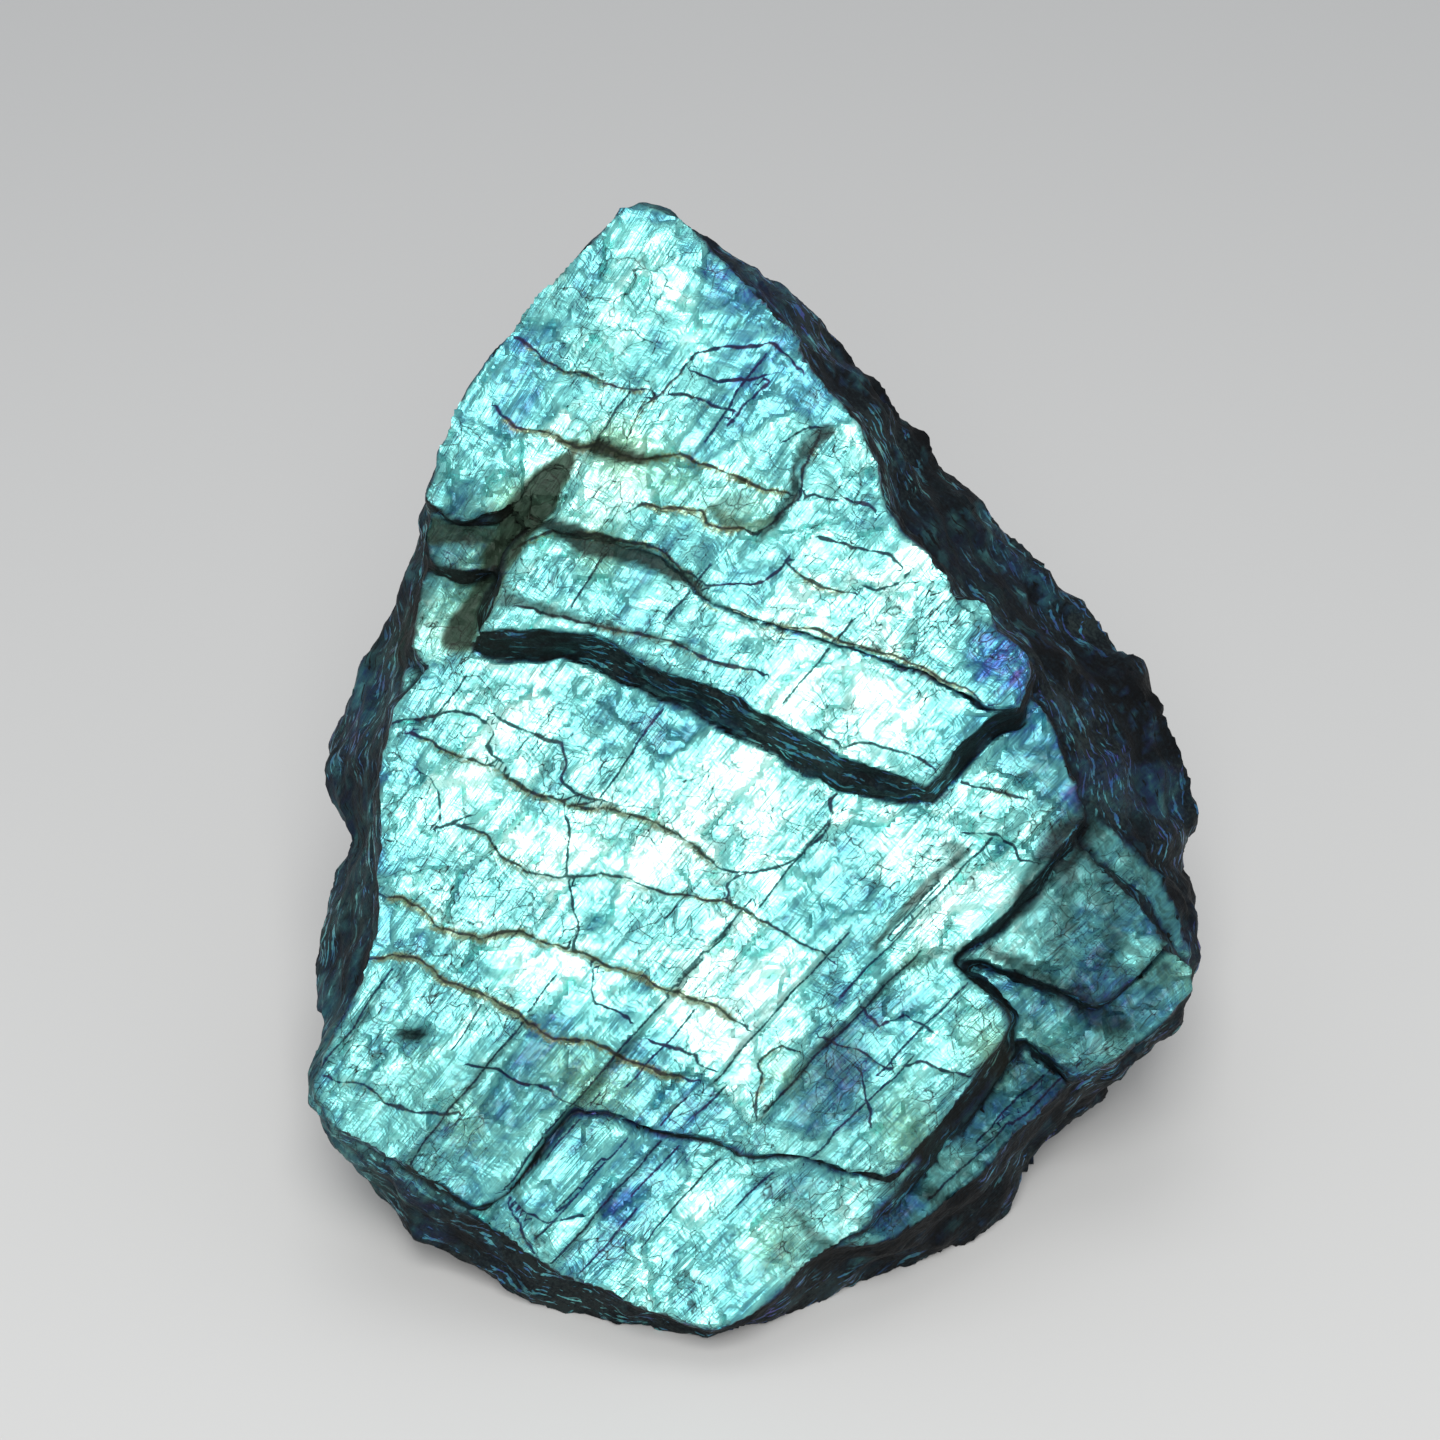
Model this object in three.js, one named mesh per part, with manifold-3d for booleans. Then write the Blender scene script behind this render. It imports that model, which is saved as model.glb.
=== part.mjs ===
// A rough chunk of labradorite, broken from the rock along its cleavage and
// standing on a flat break. Millimetres, +Z up, the bright cleavage face
// leaning back and facing -Y. The origin is under the middle of the chunk,
// on the surface it stands on.
//
// The chunk is worked out in its own cleavage frame: u runs to the right
// along the bright face, v runs up it, and d runs out of it. Every outline
// is listed anticlockwise, as seen from in front of the bright face.
import * as THREE from "three";
import { LoftGeometry } from "three/addons/geometries/LoftGeometry.js";
import {
  mergeVertices,
  toCreasedNormals,
} from "three/addons/utils/BufferGeometryUtils.js";
import Module from "manifold-3d";

// How the chunk stands.
const LEAN_DEG = 42; // the bright face's normal, above the horizon
const FLOOR_V = -53.8; // where the flat break meets the bright face's plane
const FLOOR_REACH = 400; // side of the block that cuts the flat break

// How far back the body is drawn before its back is broken off.
const BACK_REACH = -62;
const BACK_SHRINK = 0.84;
const BACK_SHIFT = [1, -3];

// The body's rim. Each row is u, v and d of the front edge, then u, v and d
// of the waist behind it.
const RIM = [
  [-9.7, 49.0, -1, -9.8, 50.3, -6],
  [-13.2, 46.5, -2, -13.5, 47.2, -6],
  [-16.0, 43.6, -2, -16.6, 44.2, -7],
  [-21.0, 37.6, -2, -21.6, 38.6, -7],
  [-25.0, 31.6, -2, -25.8, 32.4, -8],
  [-27.6, 25.0, -3, -28.8, 25.8, -9],
  [-28.4, 20.2, -4, -30.3, 20.4, -11],
  [-29.3, 14.5, -6, -33.6, 13.4, -13],
  [-30.8, 8.5, -5, -36.0, 8.8, -14],
  [-32.8, 2.0, -4, -37.6, 2.8, -14],
  [-33.0, -2.2, -4, -36.6, -1.4, -13],
  [-32.8, -5.0, -4, -35.4, -4.6, -12],
  [-33.0, -9.0, -4, -37.8, -9.2, -14],
  [-33.0, -13.6, -4, -38.9, -14.0, -14],
  [-33.6, -17.8, -4, -38.8, -18.4, -13],
  [-35.4, -21.6, -3, -37.4, -21.2, -10],
  [-37.6, -25.4, -2, -38.4, -25.6, -6],
  [-37.8, -28.0, -2, -38.3, -28.4, -6],
  [-35.6, -31.0, -2, -36.6, -32.0, -6],
  [-30.6, -34.0, -2, -31.6, -37.0, -8],
  [-27.2, -35.6, -2, -29.6, -39.8, -8],
  [-23.6, -37.8, -2, -25.2, -42.0, -8],
  [-17.8, -42.2, -3, -20.0, -45.4, -9],
  [-9.6, -45.8, -3, -12.0, -49.0, -10],
  [-3.5, -47.2, -3, -4.0, -50.0, -10],
  [2.5, -45.0, -5, 2.5, -48.8, -11],
  [8.0, -42.2, -7, 9.2, -45.8, -13],
  [13.5, -39.5, -8, 15.2, -42.9, -14],
  [19.0, -35.6, -9, 20.8, -39.0, -14],
  [24.0, -30.6, -10, 25.4, -33.4, -15],
  [29.6, -25.4, -11, 30.8, -27.6, -16],
  [34.6, -21.4, -11, 36.0, -23.4, -16],
  [38.0, -18.6, -11, 39.4, -20.4, -16],
  [39.2, -15.2, -11, 41.0, -15.2, -16],
  [37.6, -11.2, -9, 40.2, -11.0, -17],
  [33.6, -6.8, -7, 39.2, -7.6, -18],
  [29.4, -3.0, -5, 40.6, -2.4, -18],
  [27.4, 1.6, -3, 39.8, 2.4, -18],
  [25.6, 6.0, -3, 37.2, 6.4, -18],
  [23.4, 9.4, -3, 34.6, 10.6, -18],
  [19.8, 13.4, -3, 31.4, 15.4, -18],
  [16.0, 18.4, -3, 27.4, 21.0, -17],
  [12.8, 22.6, -3, 23.0, 25.8, -16],
  [11.0, 27.4, -3, 17.4, 30.6, -15],
  [9.2, 31.0, -3, 13.6, 34.2, -13],
  [5.4, 36.0, -3, 9.8, 38.4, -12],
  [1.4, 41.2, -3, 5.0, 43.4, -10],
  [-3.0, 45.6, -2, -0.4, 47.2, -8],
  [-6.4, 48.4, -1, -5.4, 49.4, -6],
];

// The cleavage sheets that make the bright face. The top of each is a plane
// d = level + tiltU * u + tiltV * v. Each row of its edge is u and v, then how
// far the wall below spreads for each millimetre it goes down to the foot.
const SHEETS = {
  // The bed that all the others lie on.
  bed: {
    level: -2.4,
    tiltU: 0,
    tiltV: 0,
    foot: -20,
    edge: [
      [-10.0, 46.0, 0.04],
      [-18.0, 38.0, 0.04],
      [-25.0, 25.0, 0.04],
      [-25.0, 12.0, 0.04],
      [-29.0, 4.0, 0.04],
      [-30.0, -16.0, 0.04],
      [-33.0, -26.0, 0.04],
      [-24.0, -33.0, 0.04],
      [-14.0, -29.0, 0.04],
      [10.0, -34.0, 0.04],
      [16.0, -27.0, 0.04],
      [18.0, -21.0, 0.04],
      [13.0, -16.0, 0.04],
      [24.0, -5.0, 0.04],
      [22.0, 6.0, 0.04],
      [14.0, 16.0, 0.04],
      [8.0, 27.0, 0.04],
      [0.0, 38.0, 0.04],
      [-6.0, 44.0, 0.04],
    ],
  },
  // The wide slab below the ledge.
  lower: {
    level: 0,
    tiltU: -0.012,
    tiltV: -0.006,
    foot: -15,
    edge: [
      [20.0, 12.0, 0.07],
      [0.0, 18.0, 0.07],
      [-20.0, 16.0, 0.07],
      [-27.4, 9.4, 0.21],
      [-31.0, 5.8, 0.17],
      [-32.2, -0.3, 0.14],
      [-32.2, -7.6, 0.14],
      [-32.2, -13.6, 0.14],
      [-33.4, -18.3, 0.11],
      [-36.0, -23.6, 0.11],
      [-37.2, -26.8, 0.11],
      [-35.3, -30.3, 0.11],
      [-30.0, -33.4, 0.11],
      [-26.8, -35.0, 0.11],
      [-23.4, -37.0, 0.11],
      [-21.2, -36.0, 0.11],
      [-18.0, -32.6, 0.11],
      [-15.0, -28.7, 0.11],
      [-12.0, -29.3, 0.17],
      [-8.0, -30.7, 0.17],
      [-4.0, -31.3, 0.17],
      [0.0, -32.6, 0.20],
      [4.5, -32.8, 0.20],
      [8.0, -34.2, 0.20],
      [11.5, -34.6, 0.23],
      [16.2, -30.0, 0.34],
      [18.6, -26.4, 0.34],
      [21.3, -22.9, 0.29],
      [21.8, -21.3, 0.21],
      [19.0, -18.3, 0.21],
      [16.6, -16.0, 0.21],
      [20.0, -13.6, 0.31],
      [24.0, -9.6, 0.34],
      [27.2, -5.6, 0.31],
      [28.3, -3.8, 0.21],
      [26.9, 1.6, 0.14],
      [24.8, 5.9, 0.14],
    ],
  },
  // The toe of the slab, broken down a step.
  toe: {
    level: -3.2,
    tiltU: 0.012,
    tiltV: -0.05,
    foot: -16,
    edge: [
      [14.0, -30.0, 0.08],
      [0.0, -26.0, 0.08],
      [-14.0, -26.0, 0.08],
      [-22.0, -33.0, 0.08],
      [-24.2, -37.6, 0.13],
      [-20.8, -39.8, 0.13],
      [-17.4, -42.0, 0.13],
      [-13.6, -43.6, 0.13],
      [-9.4, -45.7, 0.13],
      [-3.4, -47.2, 0.13],
      [-1.0, -46.4, 0.20],
      [2.4, -44.1, 0.33],
      [4.6, -41.8, 0.37],
      [7.0, -40.2, 0.37],
      [9.4, -38.8, 0.37],
      [11.8, -36.2, 0.40],
      [14.6, -33.0, 0.40],
    ],
  },
  // The strip of the upper slab along the ledge.
  strip: {
    level: 5.3,
    tiltU: -0.01,
    tiltV: -0.05,
    foot: -9,
    edge: [
      [20.0, 14.0, 0.06],
      [0.0, 20.0, 0.06],
      [-14.0, 23.0, 0.06],
      [-19.0, 20.6, 0.14],
      [-20.8, 18.4, 0.20],
      [-21.4, 15.6, 0.23],
      [-22.4, 13.4, 0.27],
      [-23.3, 11.4, 0.36],
      [-20.2, 11.4, 0.41],
      [-16.1, 11.9, 0.45],
      [-13.3, 11.3, 0.48],
      [-10.3, 10.0, 0.52],
      [-7.5, 8.5, 0.55],
      [-4.0, 7.0, 0.55],
      [-0.4, 5.2, 0.55],
      [3.0, 3.4, 0.52],
      [5.9, 1.8, 0.50],
      [8.5, 0.5, 0.48],
      [11.0, -0.5, 0.41],
      [13.0, -1.1, 0.36],
      [14.7, -1.7, 0.27],
      [17.1, 1.1, 0.27],
      [19.7, 3.8, 0.27],
      [22.4, 4.8, 0.23],
      [23.4, 8.0, 0.20],
    ],
  },
  // The upper slab, up to the peak.
  upper: {
    level: 6.5,
    tiltU: -0.012,
    tiltV: -0.088,
    foot: -9,
    edge: [
      [-9.7, 49.9, 0.06],
      [-11.4, 49.4, 0.06],
      [-13.0, 47.1, 0.06],
      [-15.7, 44.1, 0.06],
      [-18.8, 41.0, 0.06],
      [-21.0, 37.7, 0.06],
      [-23.2, 34.3, 0.06],
      [-25.0, 31.5, 0.08],
      [-26.7, 27.4, 0.08],
      [-28.0, 23.0, 0.10],
      [-25.0, 21.5, 0.18],
      [-22.0, 21.8, 0.18],
      [-19.7, 23.1, 0.15],
      [-17.9, 25.1, 0.12],
      [-16.2, 26.1, 0.10],
      [-15.4, 24.4, 0.15],
      [-16.6, 22.3, 0.18],
      [-17.6, 20.6, 0.20],
      [-15.0, 20.1, 0.24],
      [-12.2, 19.3, 0.26],
      [-10.0, 18.6, 0.26],
      [-7.5, 17.8, 0.24],
      [-5.8, 16.5, 0.20],
      [-4.6, 15.2, 0.18],
      [-3.2, 14.1, 0.16],
      [-1.8, 13.2, 0.16],
      [0.0, 12.3, 0.16],
      [4.0, 11.2, 0.16],
      [8.0, 10.0, 0.16],
      [12.0, 8.8, 0.16],
      [16.0, 6.9, 0.16],
      [20.0, 4.8, 0.16],
      [22.5, 4.9, 0.16],
      [23.6, 8.1, 0.16],
      [21.8, 11.0, 0.18],
      [19.3, 12.3, 0.18],
      [17.5, 14.0, 0.18],
      [16.3, 16.4, 0.18],
      [14.6, 18.4, 0.18],
      [12.7, 20.2, 0.18],
      [11.6, 22.3, 0.18],
      [11.0, 25.0, 0.18],
      [10.2, 27.4, 0.18],
      [9.0, 30.0, 0.18],
      [6.4, 33.0, 0.18],
      [4.7, 35.2, 0.18],
      [3.9, 37.1, 0.18],
      [1.2, 40.1, 0.16],
      [-1.8, 43.3, 0.14],
      [-3.6, 45.2, 0.12],
      [-5.2, 47.4, 0.10],
      [-7.2, 49.1, 0.08],
    ],
  },
  // A low plate in the notch on the left, above the ledge.
  notch: {
    level: 2.9,
    tiltU: 0.02,
    tiltV: 0,
    foot: -9,
    edge: [
      [-18.0, 25.0, 0.06],
      [-27.0, 25.0, 0.06],
      [-28.0, 20.0, 0.15],
      [-27.4, 18.0, 0.23],
      [-24.5, 17.0, 0.25],
      [-22.2, 17.5, 0.19],
      [-20.0, 19.0, 0.12],
    ],
  },
  // The dark shoulder between the notch and the ledge.
  shoulder: {
    level: 0.8,
    tiltU: 0.03,
    tiltV: 0,
    foot: -10,
    edge: [
      [-20.0, 20.0, 0.07],
      [-27.6, 19.0, 0.14],
      [-28.8, 14.4, 0.23],
      [-29.6, 11.0, 0.26],
      [-28.6, 9.4, 0.26],
      [-25.6, 9.0, 0.21],
      [-22.0, 10.5, 0.07],
    ],
  },
  // Broken terraces on the lower right, each a step further down.
  terraceHigh: {
    level: -3.0,
    tiltU: -0.02,
    tiltV: 0.02,
    foot: -18,
    edge: [
      [26.0, -2.0, 0.05],
      [16.0, -12.0, 0.05],
      [15.0, -17.0, 0.05],
      [20.4, -16.2, 0.10],
      [26.2, -18.3, 0.14],
      [29.6, -20.0, 0.14],
      [33.2, -17.6, 0.14],
      [36.2, -14.6, 0.18],
      [33.6, -11.2, 0.24],
      [31.0, -8.6, 0.24],
      [28.6, -6.0, 0.20],
    ],
  },
  terraceLow: {
    level: -4.6,
    tiltU: -0.03,
    tiltV: 0.04,
    foot: -19,
    edge: [
      [38.6, -16.8, 0.11],
      [35.0, -13.0, 0.05],
      [26.0, -14.0, 0.05],
      [19.0, -15.0, 0.05],
      [20.0, -20.0, 0.05],
      [23.6, -22.8, 0.13],
      [28.2, -26.0, 0.17],
      [31.6, -24.6, 0.17],
      [34.2, -22.4, 0.15],
      [37.0, -20.4, 0.13],
      [38.5, -18.6, 0.11],
    ],
  },
  // The fluted flank down to the foot on the right.
  flank: {
    level: -15.2,
    tiltU: -0.1,
    tiltV: -0.34,
    foot: -22,
    edge: [
      [22.0, -20.0, 0.08],
      [10.0, -32.0, 0.08],
      [6.0, -38.0, 0.08],
      [6.4, -41.0, 0.20],
      [10.4, -40.2, 0.27],
      [14.6, -38.2, 0.30],
      [19.2, -34.8, 0.30],
      [24.0, -30.0, 0.30],
      [28.4, -26.2, 0.23],
      [26.0, -22.0, 0.08],
    ],
  },
};

// The fractures that broke off the back, each an outward direction and how
// far out it lies.
const FRACTURES = [
  { facing: [0.06, -0.08, -1.0], distance: 46.5 },
  { facing: [-0.06, 0.5, -0.86], distance: 37.0 },
  { facing: [-0.8, -0.06, -0.58], distance: 40.5 },
  { facing: [0.78, 0.2, -0.6], distance: 43.0 },
  { facing: [-0.6, 0.52, -0.6], distance: 38.0 },
  { facing: [0.52, 0.62, -0.56], distance: 41.5 },
  { facing: [0.9, -0.36, -0.24], distance: 46.0 },
  { facing: [0.96, 0.02, 0.28], distance: 39.0 },
  { facing: [-0.62, -0.6, -0.5], distance: 50.0 },
];

// Cleavage steps on the back: everything behind the level is gone inside the
// outline, and the wall leans by the spread.
const BACK_STEPS = [
  {
    level: -42.5,
    spread: 2,
    edge: [
      [6.0, -75.0],
      [2.0, -24.0],
      [-6.0, -12.0],
      [-3.0, -1.0],
      [-14.0, 9.0],
      [-60.0, 16.0],
      [-60.0, -75.0],
    ],
  },
  {
    level: -36.5,
    spread: 3,
    edge: [
      [60.0, -8.0],
      [60.0, 75.0],
      [-60.0, 75.0],
      [-60.0, 19.0],
      [-24.0, 12.0],
      [-12.0, 9.5],
      [-4.0, 5.0],
      [9.0, 4.0],
      [18.0, -1.0],
      [28.0, -3.0],
    ],
  },
];

// The outline moved outwards, each point by its own distance.
function spread(outline, distances) {
  const count = outline.length;
  return outline.map(([u, v], i) => {
    const before = outline[(i + count - 1) % count];
    const after = outline[(i + 1) % count];
    const along = new THREE.Vector2(after[0] - before[0], after[1] - before[1]);
    along.normalize();
    return [u + along.y * distances[i], v - along.x * distances[i]];
  });
}

const section = (outline, depth) =>
  outline.map(([u, v], i) => new THREE.Vector3(u, v, depth(u, v, i)));

const wasm = await Module();
wasm.setup();

// A closed geometry as a manifold-3d solid.
function solidOf(source) {
  const geometry = new THREE.BufferGeometry();
  geometry.setAttribute("position", source.attributes.position);
  geometry.setIndex(source.index);
  const merged = mergeVertices(geometry, 1e-4);
  return new wasm.Manifold(
    new wasm.Mesh({
      numProp: 3,
      vertProperties: merged.attributes.position.array,
      triVerts: new Uint32Array(merged.index.array),
    }),
  );
}

const loft = (sections) =>
  solidOf(new LoftGeometry(sections, { capStart: true, capEnd: true }));

// The body behind the sheets: back, waist and front edge.
function bodySolid() {
  const back = RIM.map((row) => [
    row[3] * BACK_SHRINK + BACK_SHIFT[0],
    row[4] * BACK_SHRINK + BACK_SHIFT[1],
  ]);
  return loft([
    section(back, () => BACK_REACH),
    RIM.map((row) => new THREE.Vector3(row[3], row[4], row[5])),
    RIM.map((row) => new THREE.Vector3(row[0], row[1], row[2])),
  ]);
}

// One cleavage sheet: its foot, buried in the body, and its bright top.
function sheetSolid({ level, tiltU, tiltV, foot, edge }) {
  const top = ([u, v]) => level + tiltU * u + tiltV * v;
  const base = spread(edge, edge.map((row) => row[2] * (top(row) - foot)));
  return loft([
    section(base, () => foot),
    section(edge, (u, v) => top([u, v])),
  ]);
}

// What a cleavage step takes away from the back.
function stepSolid({ level, spread: lean, edge }) {
  const bottom = spread(edge, edge.map(() => lean));
  return loft([
    section(bottom, () => BACK_REACH - 10),
    section(edge, () => level),
  ]);
}

// The block under the surface the chunk stands on, in the cleavage frame.
function floorBlock() {
  const lean = THREE.MathUtils.degToRad(LEAN_DEG);
  const drop = -FLOOR_V * Math.cos(lean) + FLOOR_REACH / 2;
  const block = new THREE.BoxGeometry(FLOOR_REACH, FLOOR_REACH, FLOOR_REACH);
  block.translate(0, -drop, 0);
  block.rotateX(lean);
  return solidOf(block);
}

function chunkSolid() {
  let solid = bodySolid();
  for (const sheet of Object.values(SHEETS)) {
    solid = solid.add(sheetSolid(sheet));
  }
  for (const { facing, distance } of FRACTURES) {
    const normal = new THREE.Vector3(...facing).normalize().negate();
    solid = solid.trimByPlane(normal.toArray(), -distance);
  }
  for (const step of BACK_STEPS) {
    solid = solid.subtract(stepSolid(step));
  }
  return solid.subtract(floorBlock());
}

// The chunk's geometry, turned to stand on the flat break.
function chunkGeometry() {
  const { vertProperties, triVerts } = chunkSolid().getMesh();
  const geometry = new THREE.BufferGeometry();
  geometry.setAttribute("position", new THREE.BufferAttribute(vertProperties, 3));
  geometry.setIndex(new THREE.BufferAttribute(triVerts, 1));
  geometry.rotateX(Math.PI / 2 - THREE.MathUtils.degToRad(LEAN_DEG));
  geometry.computeBoundingBox();
  const { min, max } = geometry.boundingBox;
  geometry.translate(-(min.x + max.x) / 2, -(min.y + max.y) / 2, -min.z);
  return toCreasedNormals(geometry, THREE.MathUtils.degToRad(18));
}

function makeChunk() {
  const material = new THREE.MeshStandardMaterial({
    color: 0x4fa3a8,
    roughness: 0.35,
    metalness: 0.2,
  });
  const mesh = new THREE.Mesh(chunkGeometry(), material);
  mesh.name = "labradorite_chunk";
  return mesh;
}

const chunk = new THREE.Group();
chunk.add(makeChunk());

export default chunk;
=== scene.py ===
"""A rough chunk of labradorite, made to look like the broken stone.

The solid of the frame gives the chunk its shape. Its surface is remade as
one fine closed mesh and then carved, in the frame of the chunk's own bright
cleavage face: u to the right along the face, v up it, d out of it, all in
millimetres. The face gets its cracks, striations and tilted blocks, the sides
get their stacked layers, and the back gets small cleavage steps.
"""

import itertools
import math

import bpy
import numpy as np
from bpy.props import FloatProperty, FloatVectorProperty, IntProperty, PointerProperty
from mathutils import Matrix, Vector


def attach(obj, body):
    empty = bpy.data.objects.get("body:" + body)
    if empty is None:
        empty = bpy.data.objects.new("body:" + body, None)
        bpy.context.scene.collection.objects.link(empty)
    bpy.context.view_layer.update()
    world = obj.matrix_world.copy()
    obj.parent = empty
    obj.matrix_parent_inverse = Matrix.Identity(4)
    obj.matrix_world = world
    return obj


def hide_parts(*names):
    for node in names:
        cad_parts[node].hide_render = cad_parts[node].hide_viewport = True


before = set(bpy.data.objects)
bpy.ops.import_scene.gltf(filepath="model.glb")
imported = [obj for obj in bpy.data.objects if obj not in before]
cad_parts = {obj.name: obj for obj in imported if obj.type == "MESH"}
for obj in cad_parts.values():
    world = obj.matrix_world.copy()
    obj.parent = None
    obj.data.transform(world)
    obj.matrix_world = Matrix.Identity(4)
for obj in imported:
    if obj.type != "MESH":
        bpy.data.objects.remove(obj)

bl_info = {
    "name": "Rough Labradorite",
    "version": (1, 0, 0),
    "blender": (4, 5, 0),
    "location": "View3D > Sidebar > Labradorite",
    "description": "Carves and finishes a rough chunk of labradorite",
    "category": "Object",
}

NODE = "labradorite_chunk"
MM = 0.001

# Where the bright face's own origin is, in millimetres, and how it leans.
FACE_ORIGIN = np.array([-0.9945, -5.9933, 39.9812])
FACE_LEAN = math.radians(42)

# The fan the striations belong to: its centre, and its radius at the origin.
FAN_CENTRE = (-154.7, -190.6)
FAN_RADIUS = 245.5

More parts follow.
